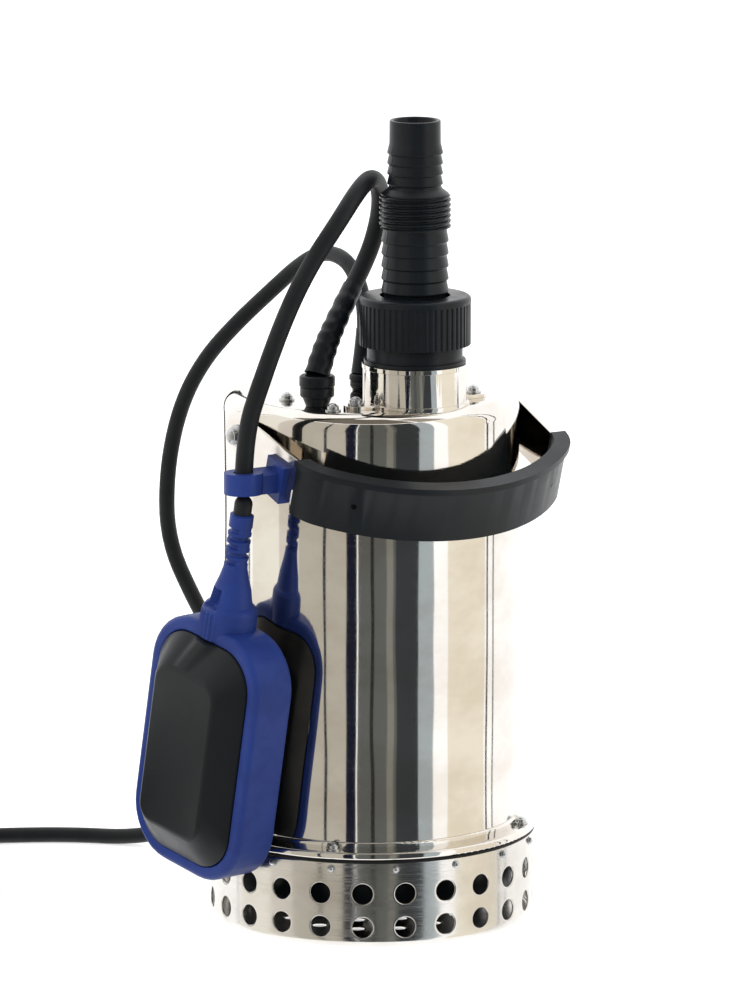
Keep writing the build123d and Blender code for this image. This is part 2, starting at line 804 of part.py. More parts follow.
# Glands and small fasteners
def gland_body(xy, cone_r, cap_low):
    """Threaded stem in the motor lid's boss, and the cone that the cap screws down on."""
    return Pos(*xy, 0) * turned([
        (0, shell_top - gland_stem_length), (gland_stem_r, shell_top - gland_stem_length),
        (gland_stem_r, shell_top), (cone_r * 0.76, shell_top), (cone_r, cap_low), (0, cap_low),
    ])


def gland_cap(xy, radius, low, height):
    """Two-tier gland cap with a groove between the tiers."""
    groove = low + 0.45 * height
    high = low + height
    return Pos(*xy, 0) * turned([
        (0, low), (radius - 0.9, low), (radius - 0.4, low + 0.8), (radius - 0.4, groove),
        (radius - 0.9, groove + 0.1), (radius, groove + 0.8), (radius, high - 0.9),
        (radius - 0.9, high), (0, high),
    ])


def make_top_screws():
    screws = []
    for seat, places in ((shell_top, plain_screw_xy), (shell_top + ear_thickness, ear_screw_xy)):
        length = seat - shell_inner_top + top_screw_bite
        for xy in places:
            screws.append(Pos(*xy, seat) * dome_screw(screw_r, top_screw_head_r, length,
                                                      screw_washer))
    return screws


def make_inner_nuts():
    """Nuts inside the shell: under two top screws and on both pivot screws."""
    low = shell_inner_top - screw_nut_height - nut_seat_gap
    nuts = [Pos(*xy, low) * hex_nut(screw_nut_width, screw_nut_height, screw_r)
            for xy in plain_screw_xy]
    seat = math.sqrt(shell_inner_r ** 2 - (pivot_nut_width * 0.58) ** 2) - nut_seat_gap
    for side in (-1, 1):
        nuts.append(Pos(side * seat, 0, pivot_z) * Rot(0, -90 * side, 0) * hex_nut(
            pivot_nut_width, pivot_nut_height, pivot_screw_r))
    return nuts


# Handle
def handle_frame():
    """Strap frame: X along the pivot, -Y along the arms to the grip, Z across the strap."""
    return Pos(0, 0, pivot_z) * Rot(handle_drop, 0, 0)


def bow_edge(x, grow=0.0):
    """Distance from the pivot to the strap's bowed front at a distance from its middle."""
    return handle_reach - front_bow_r + math.sqrt((front_bow_r + grow) ** 2 - x ** 2)


def strap_outline(grow):
    """Closed outline of the bent strap, from behind the pivots to the bowed front."""
    front = strap_front_x + grow
    side = strap_pivot_x + grow
    edge = bow_edge(front, grow)
    tip = (0, -(handle_reach + grow))
    sides = Polyline((-front, -edge), (-side, -strap_flat), (-side, strap_flat),
                     (side, strap_flat), (side, -strap_flat), (front, -edge))
    face = make_face(sides + ThreePointArc((front, -edge), tip, (-front, -edge)))
    corners = [v for v in face.vertices() if v.Y < -strap_flat - 1]
    return fillet(corners, strap_corner_r + grow)


def strap_band(outside, inside, width):
    """A band along the strap's centreline, of a thickness each side and a width."""
    sheet = strap_outline(outside) - strap_outline(-inside)
    return extrude(sheet, width / 2, both=True)


def strap_solid():
    reach = 2 * handle_reach
    side = Pos(0, -reach / 2, 0) * Box(4 * shell_r, reach, strap_width)
    side += Rot(0, 90, 0) * extrude(Circle(strap_width / 2), 2 * shell_r, both=True)
    return strap_band(half_strap, half_strap, strap_width) & side


def make_strap():
    bore = Rot(0, 90, 0) * extrude(Circle(pivot_screw_r + fit_gap), 2 * shell_r, both=True)
    strap = strap_solid() - bore
    for side in (-1, 1):
        strap -= grip_screw_place(side) * extrude(Circle(grip_screw_r), 12, both=True)
    return strap


def grip_screw_place(side):
    turn = math.degrees(math.asin(grip_screw_x / front_bow_r))
    return Pos(side * grip_screw_x, -bow_edge(grip_screw_x), 0) * Rot(0, 0, side * turn) * Rot(
        90, 0, 0)


def make_grip():
    """Moulded grip round the strap's front, with a thicker lip along its upper edge."""
    outside = half_strap + grip_outer
    inside = half_strap + grip_inner
    grip = strap_band(outside, inside, grip_width)
    lip = strap_band(outside + grip_lip, inside, grip_lip_height)
    grip += Pos(0, 0, (grip_width - grip_lip_height) / 2) * lip
    front = Pos(0, -(grip_start + handle_reach), 0) * Box(4 * shell_r, 2 * handle_reach,
                                                          2 * grip_width)
    grip = (grip & front) - strap_solid()
    for side in (-1, 1):
        grip -= grip_screw_place(side) * extrude(Circle(grip_screw_r), 12, both=True)
    return grip


def make_grip_screws():
    """Countersunk pins that hold the grip to the strap, flush with its outside."""
    length = 2 * half_strap + grip_outer + grip_inner
    pin = Pos(0, 0, -half_strap - grip_inner) * extrude(Circle(grip_screw_r), length)
    return [grip_screw_place(side) * pin for side in (-1, 1)]


def make_pivot_screws():
    seat = strap_pivot_x + half_strap + pivot_play
    length = seat - shell_inner_r + pivot_nut_height + 1
    screw = dome_screw(pivot_screw_r, pivot_head_r, length, pivot_washer)
    return [Pos(side * seat, 0, pivot_z) * Rot(0, 90 * side, 0) * screw for side in (-1, 1)]


def make_pivot_bushes():
    """Spacers between the shell's round wall and the strap's flat ends."""
    reach = strap_pivot_x - half_strap - pivot_play
    bush = extrude(Circle(bush_r) - Circle(pivot_screw_r), reach - shell_r + 2)
    shell = disc(shell_r, pivot_z - 2 * bush_r, pivot_z + 2 * bush_r)
    return [Pos(side * (shell_r - 2), 0, pivot_z) * Rot(0, 90 * side, 0) * bush - shell
            for side in (-1, 1)]


# Clip and float switch
def strap_face(along):
    """Distance from the middle to the strap's outer face, at a distance from the pivot."""
    slope = strap_taper / (bow_edge(strap_front_x) - strap_flat)
    return strap_pivot_x + half_strap - slope * (along - strap_flat)


def clip_centre():
    place = handle_frame() * Pos(-(strap_face(clip_along) + clip_out), -clip_along, -clip_fall)
    return place.position


def make_clip():
    """Snap clip: an upright ring round the float's cable and a hook under the strap."""
    ring_solid = Pos(*clip_centre()) * extrude(Circle(clip_ring_r), clip_ring_height / 2,
                                               both=True)
    face = strap_face(clip_along)
    arm = Pos(-face - clip_out / 2, -clip_along, -clip_fall) * Box(
        clip_out, clip_arm, clip_ring_height)
    bottom = -strap_width / 2 - clip_hook
    tall = strap_width * 0.8
    plate = Pos(-face - clip_plate / 2 + 0.6, -clip_along, bottom + tall / 2) * Box(
        clip_plate + 1.2, clip_jaw, tall)
    outside = -face - clip_plate
    inside = -face + strap_thickness + clip_hook + 0.6
    under = Pos((outside + inside) / 2, -clip_along, bottom + clip_hook / 2) * Box(
        inside - outside, clip_jaw, clip_hook)
    hook = Pos(inside - clip_hook / 2, -clip_along, bottom + 3) * Box(clip_hook, clip_jaw, 6)
    clip = ring_solid + handle_frame() * (arm + plate + under + hook)
    clip -= Pos(*clip_centre()) * extrude(Circle(float_cable_r + clip_gap), 30, both=True)
    return clip - handle_frame() * strap_solid()


def float_frame():
    """Float frame: origin at its hanging point, Z up along it, +Y towards the shell."""
    angle = math.radians(float_face_angle)
    lean = math.radians(float_lean)
    tangent = Vector(-math.sin(angle), math.cos(angle), 0)
    upright = Vector(0, 0, 1) * math.cos(lean) + tangent * math.sin(lean)
    across = tangent * math.cos(lean) - Vector(0, 0, 1) * math.sin(lean)
    return Plane(origin=clip_centre() - Vector(0, 0, float_hang), x_dir=across, z_dir=upright)


def float_slice(inset_x, inset_z, depth):
    """The float's outline, set in from its sides and ends, at a depth through its thickness."""
    plane = Plane(origin=(0, depth, float_centre), x_dir=(1, 0, 0), z_dir=(0, -1, 0))
    return plane * RectangleRounded(float_width - 2 * inset_x, float_length - 2 * inset_z,
                                    float_corner_r - inset_x)


def make_float_band():
    band = extrude(float_slice(0, 0, half_band), float_band)
    edges = [e for e in band.edges() if abs(abs(e.center().Y) - half_band) < 0.01]
    band = fillet(edges, float_band_edge_r)
    return band - extrude(float_slice(float_band_wall, float_band_wall, half_band + 1),
                          float_band + 2)


def float_half(side):
    """One moulded half: a tray inside the band, with a bevelled boss outside it."""
    def body(shrink):
        inset = float_band_wall + shrink
        deep = half_band if side > 0 else -float_seam
        tray = extrude(float_slice(inset, inset, deep), half_band - float_seam)
        bevel = loft([
            float_slice(inset, inset, side * half_band),
            float_slice(inset + float_bevel_x, inset + float_bevel_z,
                        side * (half_band + float_boss - shrink)),
        ])
        return tray + bevel
    return body(0) - body(float_wall)


def make_float_relief():
    """Bend relief of the float: sleeve, ribs, flared neck and a collar astride the band."""
    root = relief_r - relief_rib_depth
    points = [(0, -relief_top), (relief_r - 0.4, -relief_top), (relief_r, -relief_top - 0.6),
              (relief_r, -relief_rib_top)]
    step = (relief_rib_bottom - relief_rib_top) / relief_rib_count
    for i in range(relief_rib_count):
        low = -relief_rib_top - i * step
        points += [(root, low - 0.1 * step), (root, low - 0.45 * step),
                   (relief_r, low - 0.5 * step), (relief_r, low - 0.95 * step)]
    neck = -relief_rib_bottom
    points += [(relief_r, neck - 1), (relief_r + 0.8, neck - relief_flare_start),
               (relief_r + 3.9, neck - relief_flare),
               (relief_r + 4.5, -relief_collar_top + 0.8),
               (relief_collar_r - 0.9, -relief_collar_top),
               (relief_collar_r, -relief_collar_top - 6),
               (relief_collar_r, -relief_collar_bottom), (0, -relief_collar_bottom)]
    envelope = extrude(float_slice(0, 0, half_band), float_band)
    return (turned(points) - envelope).solids().sort_by(SortBy.VOLUME)[-1]


def make_cable_end():
    """Where the cable bends: a round-ended stub between the clip and the bend relief."""
    return disc(float_cable_r, -relief_top, 0) + Sphere(float_cable_r)


def make_switch_case():
    depth = float_band + 2 * (float_boss - float_wall - switch_play)
    length = switch_bore + 2 * switch_wall
    case = Box(switch_width, depth, length)
    case -= extrude(Circle(switch_ball_r + running_gap), switch_bore / 2, both=True)
    return Pos(0, 0, float_centre) * case


def make_switch_ball():
    low = float_centre - switch_bore / 2
    return Pos(0, 0, low + switch_ball_r + switch_play) * Sphere(switch_ball_r)


# Cables
def route_radii(points):
    """As large an arc at each corner as its two runs allow."""
    radii = []
    for before, corner, after in zip(points, points[1:], points[2:]):
        run_in = Vector(corner) - Vector(before)
        run_out = Vector(after) - Vector(corner)
        half_turn = math.radians(run_in.get_angle(run_out) / 2)
        radii.append(0.45 * min(run_in.length, run_out.length) / math.tan(half_turn))
    return radii


def tube(label, points, radius):
    """A round tube along straight runs joined by tangent arcs."""
    radii = route_radii(points)
    path = FilletPolyline(*points, radius=radii)
    section = Plane(origin=path @ 0, z_dir=path % 0) * Circle(radius)
    solid = sweep(section, path=path)
    wanted = math.pi * radius ** 2 * path.length
    print(label, "length", round(path.length), "radii", [round(r) for r in radii],
          "volume ratio", round(solid.volume / wanted, 4))
    return solid


def make_boot():
    """Tapered boot of the float's cable, over the first runs of its route."""
    path = FilletPolyline(*boot_route, radius=route_radii(boot_route))
    sections = [Plane(origin=path @ 0, z_dir=path % 0) * Circle(boot_r),
                Plane(origin=path @ 1, z_dir=path % 1) * Circle(boot_tip_r)]
    return sweep(sections, path=path, multisection=True)


def cable_end_points():
    """The float cable's last run: straight down through the clip, to just above its stub."""
    centre = clip_centre()
    low = centre.Z - float_hang + float_cable_r + cable_joint_gap
    return [(centre.X + 0.3, centre.Y, centre.Z + over_clip), (centre.X, centre.Y, low)]


def on_coil(angle, height, radius=coil_mean_r):
    turn = math.radians(angle)
    return (coil_centre[0] + radius * math.cos(turn), coil_centre[1] + radius * math.sin(turn),
            height)


def make_coil():
    half = coil_width / 2
    block = ring(coil_mean_r + half, coil_mean_r - half, coil_bottom, coil_top)
    edges = [e for e in block.edges().filter_by(GeomType.CIRCLE)]
    return Pos(*coil_centre, 0) * fillet(edges, mains_cable_r)


def make_tie():
    inner = Rectangle(coil_width + 2 * tie_gap, coil_height + 2 * tie_gap)
    outer = Rectangle(coil_width + 2 * (tie_gap + tie_thickness),
                      coil_height + 2 * (tie_gap + tie_thickness))
    loop = extrude(outer - inner, tie_width / 2, both=True)
    return Pos(*on_coil(tie_angle, (coil_bottom + coil_top) / 2)) * Rot(
        0, 0, tie_angle) * Rot(90, 0, 0) * loop


def plug_place():
    """Plug frame: its rear on top of the coil, Z along the plug from its cable to its pins."""
    rear = on_coil(plug_angle, coil_top + plug_r, plug_rear_r)
    centre = plug_neck_length + plug_length / 2
    return Pos(*rear) * Rot(0, 0, plug_angle) * Rot(-90, 0, 0) * Pos(0, 0, centre)


def make_plug():
    """Round moulded plug: a face with a rim, a waist for the fingers and a ribbed neck."""
    half = plug_length / 2
    body = turned([
        (0, -half - plug_neck_length), (plug_neck_r - 1.5, -half - plug_neck_length),
        (plug_neck_r, -half - 6), (plug_neck_r + 3, -half), (plug_r - 3.2, -half + 8),
        (plug_r - 4, -half + 15), (plug_r, half - 9), (plug_r, half - 0.8), (plug_r - 0.8, half),
        (0, half),
    ])
    return plug_place() * body


def make_pins():
    half = plug_length / 2
    pin = Pos(0, 0, half) * extrude(Circle(pin_r), pin_length)
    pin = fillet(outer_circle(pin, pin_r, half + pin_length), pin_r * 0.8)
    return [plug_place() * Pos(side * pin_spacing / 2, 0, 0) * pin for side in (-1, 1)]


def make_plug_tail():
    """The cable's end: off the coil's outer turn and over it to the plug's rear."""
    points = [on_coil(plug_angle + angle, coil_top + rise, plug_rear_r + extra)
              for angle, rise, extra in tail_rise]
    points.append(on_coil(plug_angle, coil_top + plug_r, plug_rear_r))
    return tube("plug tail", points, mains_cable_r)


# Nodes
keep("outer_shell", make_shell())
keep("discharge_spout", make_spout())
keep("adapter_body", make_adapter())
keep("hose_seal_ring", make_hose_seal())
keep("collar_nut", make_collar_nut())
keep("hose_tail", make_hose_tail())

keep("strainer_basket", make_basket())
keep("rim_rivets", *make_rivets())
keep("flange_gasket", make_gasket())
keep("base_flange", make_flange())
keep("base_ring", make_collar())
keep("flange_screws", *make_flange_screws())

keep("pump_casing", make_casing())
keep("suction_plate", make_suction_plate())
keep("suction_plate_screws", *make_plate_screws())
keep("impeller", make_impeller())
keep("impeller_nut", make_impeller_nut())
keep("mechanical_seal_seat", make_seal_seat())
keep("mechanical_seal_head", make_seal_head())

keep("oil_chamber_cover", make_oil_case())
keep("bearing_outer_rings", make_outer_race(lower_bearing), make_outer_race(upper_bearing))
keep("bearing_inner_rings", make_inner_race(lower_bearing), make_inner_race(upper_bearing))
keep("bearing_balls", *make_balls(lower_bearing), *make_balls(upper_bearing))
keep("motor_can", disc(can_r, can_bottom, can_top) - disc(can_inner_r, can_bottom, can_top))
keep("stator_core", make_stator())
keep("stator_windings", *make_windings())
keep("rotor_core", make_rotor())
keep("shaft", make_shaft())
keep("upper_bracket", make_bracket())
keep("capacitor", make_capacitor())
keep("motor_lid", make_lid())

keep("float_gland_body", gland_body(float_gland_xy, float_cone_r, float_cap_low))
keep("float_gland_cap", gland_cap(float_gland_xy, float_cap_r, float_cap_low, float_cap_height))
keep("mains_gland_body", gland_body(mains_gland_xy, mains_cone_r, mains_cap_low))
keep("mains_gland_cap", gland_cap(mains_gland_xy, mains_cap_r, mains_cap_low, mains_cap_height))
keep("top_screws", *make_top_screws())
keep("inner_nuts", *make_inner_nuts())

keep("handle_strap", handle_frame() * make_strap())
keep("handle_grip", handle_frame() * make_grip())
keep("grip_screws", *[handle_frame() * screw for screw in make_grip_screws()])
keep("handle_pivot_screws", *make_pivot_screws())
keep("handle_pivot_bushes", *make_pivot_bushes())
keep("cable_clip", make_clip())

keep("float_band", float_frame() * make_float_band())
keep("float_body_front", float_frame() * float_half(-1))
keep("float_body_back", float_frame() * float_half(1))
keep("float_strain_relief", float_frame() * make_float_relief())
keep("float_cable_end", float_frame() * make_cable_end())
keep("float_switch_case", float_frame() * make_switch_case())
keep("float_switch_ball", float_frame() * make_switch_ball())

keep("float_cable_boot", make_boot())
keep("float_cable", tube("float cable", float_route + cable_end_points(), float_cable_r))
keep("mains_cable", tube("mains cable", mains_route, mains_cable_r), make_plug_tail())
keep("mains_coil", make_coil())
keep("coil_tie", make_tie())
keep("mains_plug", make_plug())
keep("plug_pins", *make_pins())
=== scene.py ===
# %% [markdown]
# # A submersible pump with a float switch
# The pump is a drawn stainless shell on a perforated strainer foot, with a stepped hose tail on
# top, a swinging handle, a float on a short cable and a long mains lead. The solids arrive as a
# fixed frame. This lesson dresses them: cords first, then steel, plastic and rubber, then the
# pieces whose shape a plain solid can't give.

import bmesh
import bpy
import math
import numpy as np
import json
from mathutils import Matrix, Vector


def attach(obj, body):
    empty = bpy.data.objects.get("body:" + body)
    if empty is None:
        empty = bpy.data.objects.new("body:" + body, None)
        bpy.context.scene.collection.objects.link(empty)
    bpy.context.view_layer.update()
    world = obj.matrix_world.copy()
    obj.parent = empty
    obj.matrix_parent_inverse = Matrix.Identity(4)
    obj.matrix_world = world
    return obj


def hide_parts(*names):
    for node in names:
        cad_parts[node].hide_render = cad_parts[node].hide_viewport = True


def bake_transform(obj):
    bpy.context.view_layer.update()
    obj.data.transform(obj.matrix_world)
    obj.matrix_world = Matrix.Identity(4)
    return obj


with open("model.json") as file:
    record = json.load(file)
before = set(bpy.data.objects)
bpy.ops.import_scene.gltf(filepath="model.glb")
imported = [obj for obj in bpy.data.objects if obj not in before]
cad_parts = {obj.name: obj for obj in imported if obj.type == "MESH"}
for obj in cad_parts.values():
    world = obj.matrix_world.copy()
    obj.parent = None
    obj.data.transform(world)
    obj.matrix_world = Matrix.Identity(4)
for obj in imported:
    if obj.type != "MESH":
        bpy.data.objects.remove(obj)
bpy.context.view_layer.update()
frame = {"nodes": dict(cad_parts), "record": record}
mm = 0.001
scene = bpy.context.scene

# %% [markdown]
# ## Camera
# A long lens from a little above, left of the pump's front, as a product photograph is taken.
# The shift stays at zero, so that other views can turn round the same middle.

# %% Camera
camera_data = bpy.data.cameras.new("camera")
camera_data.lens = 266.9
camera_data.sensor_width = 36.0
camera_data.clip_end = 50.0
camera = bpy.data.objects.new("camera", camera_data)
camera.location = (-1.8747, -3.1201, 0.9140)
aim = Vector((0.0017, -0.0010, 0.2100))
camera.rotation_euler = (aim - camera.location).to_track_quat("-Z", "Y").to_euler()
scene.collection.objects.link(camera)
scene.camera = camera
print("camera stands", round((aim - camera.location).length, 2), "m away")

# %% [markdown]
# ## The mains lead
# A rubber lead of a little over nine metres. It leaves its gland, arches over behind the outlet,
# hangs down the back and lies on the ground as far as a neat round coil. One NURBS line runs
# through all of it, because a real cord is one smooth thing: straight runs with rounded corners
# look like bent wire. The cable itself is a mesh, since a curve's box is wider than its tube.

# %% Route of the mains lead, in millimetres
mains_diameter = 8.0
mains_gland = (-4, 2, 274.5)
mains_route = [
    mains_gland, (-1, 3, 297), (3, 14, 315), (6, 33, 327), (6, 56, 328), (4, 76, 319),
    (-5, 90, 304), (-21, 97, 288), (-41, 96, 271), (-54, 98, 248), (-62, 98, 216),
    (-62, 98, 180), (-48, 96, 148), (-30, 98, 119), (-17, 106, 88), (-9, 119, 58),
    (-9, 136, 31), (-19, 157, 12), (-37, 180, 4), (-60, 202, 4), (-91, 219, 4),
    (-123, 231, 4), (-155, 241, 4), (-180, 247.5, 4),
]
coil_centre = (-225.7, 171.8)
coil_start = 72.0
coil_radii = (84, 76, 68, 60, 52)
coil_layers = 4
coil_low = 5.2
coil_slack = 1.01
step_start = 0.78
points_per_turn = 14


def on_coil(angle, radius, height):
    """Point on the coil: its centre plus radius times the cosine and sine of the angle."""
    turn = np.radians(angle)
    return (coil_centre[0] + radius * np.cos(turn), coil_centre[1] + radius * np.sin(turn), height)


# %% Turns of the coil
def coil_turns():
    """Turns side by side, in and out again, layer on layer. Each keeps its radius for most of
    the way round and steps over to the next one in its last part."""
    radii = []
    heights = []
    for layer in range(coil_layers):
        order = coil_radii if layer % 2 == 0 else coil_radii[::-1]
        radii += order
        heights += [coil_low + layer * mains_diameter] * len(order)
    radii = np.array(radii + [radii[-1]], float)
    heights = np.array(heights + [heights[-1]], float)
    turn = np.arange(len(radii) - 1).repeat(points_per_turn)
    part = np.tile(np.arange(points_per_turn) / points_per_turn, len(radii) - 1)
    step = np.clip((part - step_start) / (1 - step_start), 0, 1)
    angle = coil_start + 360 * (turn + part)
    radius = radii[turn] + step * (radii[turn + 1] - radii[turn])
    height = heights[turn] + step * (heights[turn + 1] - heights[turn])
    return np.stack(on_coil(angle, radius * coil_slack, height), axis=1)


plug_rear = on_coil(180, 54, 50.4)
to_plug = [on_coil(80, 84, 29.8), on_coil(100, 82, 37), on_coil(120, 74, 43.0),
           on_coil(140, 64, 48.2), on_coil(160, 56.5, 50.2), plug_rear]
turns = coil_turns()
mains_points = mains_route + [tuple(p) for p in turns] + to_plug + [on_coil(186, 54.4, 50.4)]
print("mains lead:", len(mains_points), "points,", len(turns), "of them in the coil")


# %% A smooth line through a route
def nurbs_line(name, points, radius=0.0, steps=6):
    """Curve object with one open NURBS spline of order 3 that starts and ends on its points."""
    data = bpy.data.curves.new(name, "CURVE")
    data.dimensions = "3D"
    data.resolution_u = steps
    data.bevel_depth = radius * mm
    data.bevel_resolution = 4
    data.use_fill_caps = radius > 0
    spline = data.splines.new("NURBS")
    spline.points.add(len(points) - 1)
    flat = np.ones((len(points), 4))
    flat[:, :3] = np.array(points, float) * mm
    spline.points.foreach_set("co", flat.ravel())
    spline.order_u = 3
    spline.use_endpoint_u = True
    line = bpy.data.objects.new(name, data)
    scene.collection.objects.link(line)
    return line


def line_points(points, steps=10):
    """Points of a route's NURBS line in millimetres, as Blender works them out."""
    line = nurbs_line("route_line", points, steps=steps)
    mesh = bpy.data.meshes.new_from_object(line)
    read = np.zeros(len(mesh.vertices) * 3)
    mesh.vertices.foreach_get("co", read)
    bpy.data.objects.remove(line)
    bpy.data.meshes.remove(mesh)
    return read.reshape(-1, 3) / mm


def round_cable(name, points, radius):
    """Mesh tube on a route's NURBS line."""
    line = nurbs_line("cable_line", points, radius)
    mesh = bpy.data.meshes.new_from_object(line)
    mesh.name = name
    bpy.data.objects.remove(line)
    cable = bpy.data.objects.new(name, mesh)
    scene.collection.objects.link(cable)
    return cable


mains_lead = round_cable("mains_lead", mains_points, mains_diameter / 2)
mains_line = line_points(mains_points)
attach(mains_lead, "pump")
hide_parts("mains_cable", "mains_coil")

# %% [markdown]
# ## Surfaces from arrays
# A shape is a grid of points worked out at once with numpy, and its faces join neighbours in the
# grid. Seams are merged afterwards, so a closed shape has no gap, and its normals are turned out.

# %% Grids and meshes
def grid_faces(rows, columns, close_rows, close_columns):
    """Quads between neighbouring rows and columns of a grid of point numbers."""
    index = np.arange(rows * columns).reshape(rows, columns)
    if close_rows:
        index = np.vstack([index, index[:1]])
    if close_columns:
        index = np.hstack([index, index[:, :1]])
    corners = [index[:-1, :-1], index[:-1, 1:], index[1:, 1:], index[1:, :-1]]
    return np.stack(corners, axis=-1).reshape(-1, 4)


def patch(points, close_rows=False, close_columns=False):
    """One patch: a grid of points in millimetres, flattened, with its quads."""
    rows, columns = points.shape[:2]
    return points.reshape(-1, 3), grid_faces(rows, columns, close_rows, close_columns)


def tidy_mesh(mesh, sharp, merge=1e-6, flat=0.0):
    """Merges doubles, turns the faces out and shades smooth up to the sharp angle."""
    work = bmesh.new()
    work.from_mesh(mesh)
    bmesh.ops.remove_doubles(work, verts=work.verts, dist=merge)
    bmesh.ops.dissolve_degenerate(work, edges=work.edges, dist=merge)
    if flat:
        bmesh.ops.dissolve_limit(work, angle_limit=math.radians(flat), verts=work.verts,
                                 edges=work.edges)
    bmesh.ops.recalc_face_normals(work, faces=work.faces)
    work.to_mesh(mesh)
    work.free()
    mesh.shade_smooth()
    mesh.set_sharp_from_angle(angle=math.radians(sharp))


def new_piece(name, patches, material, body, replaced=(), sharp=35):
    """Joins patches into one mesh in metres and rides it on its body."""
    starts = np.cumsum([0] + [len(points) for points, _ in patches[:-1]])
    points = np.vstack([points for points, _ in patches]) * mm
    faces = np.vstack([quads + start for (_, quads), start in zip(patches, starts)])
    mesh = bpy.data.meshes.new(name)
    mesh.from_pydata(points.tolist(), [], faces.tolist())
    tidy_mesh(mesh, sharp)
    mesh.materials.append(material)
    piece = bpy.data.objects.new(name, mesh)
    scene.collection.objects.link(piece)
    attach(piece, body)
    if replaced:
        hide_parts(*replaced)
    print(name, "has", len(mesh.polygons), "faces")
    return piece


# %% Bevels and walls
def bevel(piece, width, angle=30):
    """Rounds every edge sharper than an angle. The width is in millimetres."""
    rounding = piece.modifiers.new("rounding", "BEVEL")
    rounding.width = width * mm
    rounding.segments = 2
    rounding.limit_method = "ANGLE"
    rounding.angle_limit = math.radians(angle)
    rounding.use_clamp_overlap = True
    rounding.harden_normals = True


def thicken(piece, thickness):
    """Gives a sheet its wall, which grows inwards."""
    wall = piece.modifiers.new("wall", "SOLIDIFY")
    wall.thickness = thickness * mm
    wall.offset = -1.0
    wall.use_even_offset = True


# %% Outlines and lathe surfaces
def rounded(points, cut, steps=4, closed=True):
    """Outline whose corners are arcs. Between a and b, which lie the cut before and after a
    corner p, the arc is ((1-t)^2 a + 2wt(1-t) p + t^2 b) / ((1-t)^2 + 2wt(1-t) + t^2), where w
    is the cosine of half the turn."""
    corner = np.array(points, float)
    before = np.roll(corner, 1, axis=0) - corner
    after = np.roll(corner, -1, axis=0) - corner
    back = np.linalg.norm(before, axis=1, keepdims=True)
    ahead = np.linalg.norm(after, axis=1, keepdims=True)
    reach = np.broadcast_to(np.asarray(cut, float), len(corner))[:, None]
    reach = np.minimum(reach, 0.48 * np.minimum(back, ahead))
    if not closed:
        reach = reach * (np.arange(len(corner)) % (len(corner) - 1) > 0)[:, None]
    straight = -(before * after).sum(1, keepdims=True) / (back * ahead)
    w = np.sqrt(np.clip((1 + straight) / 2, 0, 1))[:, None]
    a = (corner + before / back * reach)[:, None]
    b = (corner + after / ahead * reach)[:, None]
    t = np.linspace(0, 1, steps + 1)[None, :, None]
    weight = (1 - t) ** 2 + 2 * w * t * (1 - t) + t ** 2
    arc = ((1 - t) ** 2 * a + 2 * w * t * (1 - t) * corner[:, None] + t ** 2 * b) / weight
    return arc.reshape(-1, corner.shape[1])


def lathe(outline, centre=(0.0, 0.0), steps=128, ripple=None):
    """Turns a closed outline of radius and height about an upright axis: x = r cos a,
    y = r sin a. A ripple adds to the radius as a function of angle and height."""
    angle = np.linspace(0, 2 * np.pi, steps, endpoint=False)[:, None]
    radius = np.broadcast_to(outline[:, 0], (steps, len(outline))).copy()
    height = np.broadcast_to(outline[:, 1], radius.shape)
    if ripple:
        radius = radius + ripple(angle, height)
    points = np.stack([centre[0] + radius * np.cos(angle), centre[1] + radius * np.sin(angle),
                       height], axis=-1)
    return patch(points, close_rows=True, close_columns=True)


# %% [markdown]
# ## Shared effects
# Each effect is a node group that is built once: a cloudy tint for drawn steel, the faint lines
# that polishing leaves, slow waves in a sheet, the grain of a mould and the light scuffing of
# edges. A group gives out only masks and heights. The shader stays in each material.

# %% Node group helpers
def new_group(name, inputs, outputs):
    """Node group with named number inputs and named outputs."""
    tree = bpy.data.node_groups.new(name, "ShaderNodeTree")
    for label, start in inputs.items():
        socket = tree.interface.new_socket(label, in_out="INPUT", socket_type="NodeSocketFloat")
        socket.default_value = start
    for label in outputs:
        tree.interface.new_socket(label, in_out="OUTPUT", socket_type="NodeSocketFloat")
    return tree, tree.nodes.new("NodeGroupInput"), tree.nodes.new("NodeGroupOutput")


def noise_on_piece(tree, stretch, detail=3.0, roughness=0.55):
    """Noise on object coordinates, stretched along each axis by its scale per metre."""
    place = tree.nodes.new("ShaderNodeTexCoord")
    turn = tree.nodes.new("ShaderNodeMapping")
    turn.inputs["Scale"].default_value = stretch
    noise = tree.nodes.new("ShaderNodeTexNoise")
    noise.inputs["Scale"].default_value = 1.0
    noise.inputs["Detail"].default_value = detail
    noise.inputs["Roughness"].default_value = roughness
    tree.links.new(place.outputs["Object"], turn.inputs["Vector"])
    tree.links.new(turn.outputs["Vector"], noise.inputs["Vector"])
    return noise.outputs["Fac"]


def math_node(tree, operation, first, second):
    """One sum on sockets or plain numbers."""
    node = tree.nodes.new("ShaderNodeMath")
    node.operation = operation
    for socket, value in zip(node.inputs, (first, second)):
        if isinstance(value, (int, float)):
            socket.default_value = value
        else:
            tree.links.new(value, socket)
    return node.outputs["Value"]


def spread(tree, value, low, high, start=0.0, end=1.0):
    """Maps a range of a mask onto another, smoothly, and holds it there."""
    node = tree.nodes.new("ShaderNodeMapRange")
    node.interpolation_type = "SMOOTHSTEP"
    for label, number in (("From Min", low), ("From Max", high), ("To Min", start),
                          ("To Max", end)):
        node.inputs[label].default_value = number
    tree.links.new(value, node.inputs["Value"])
    return node.outputs["Result"]


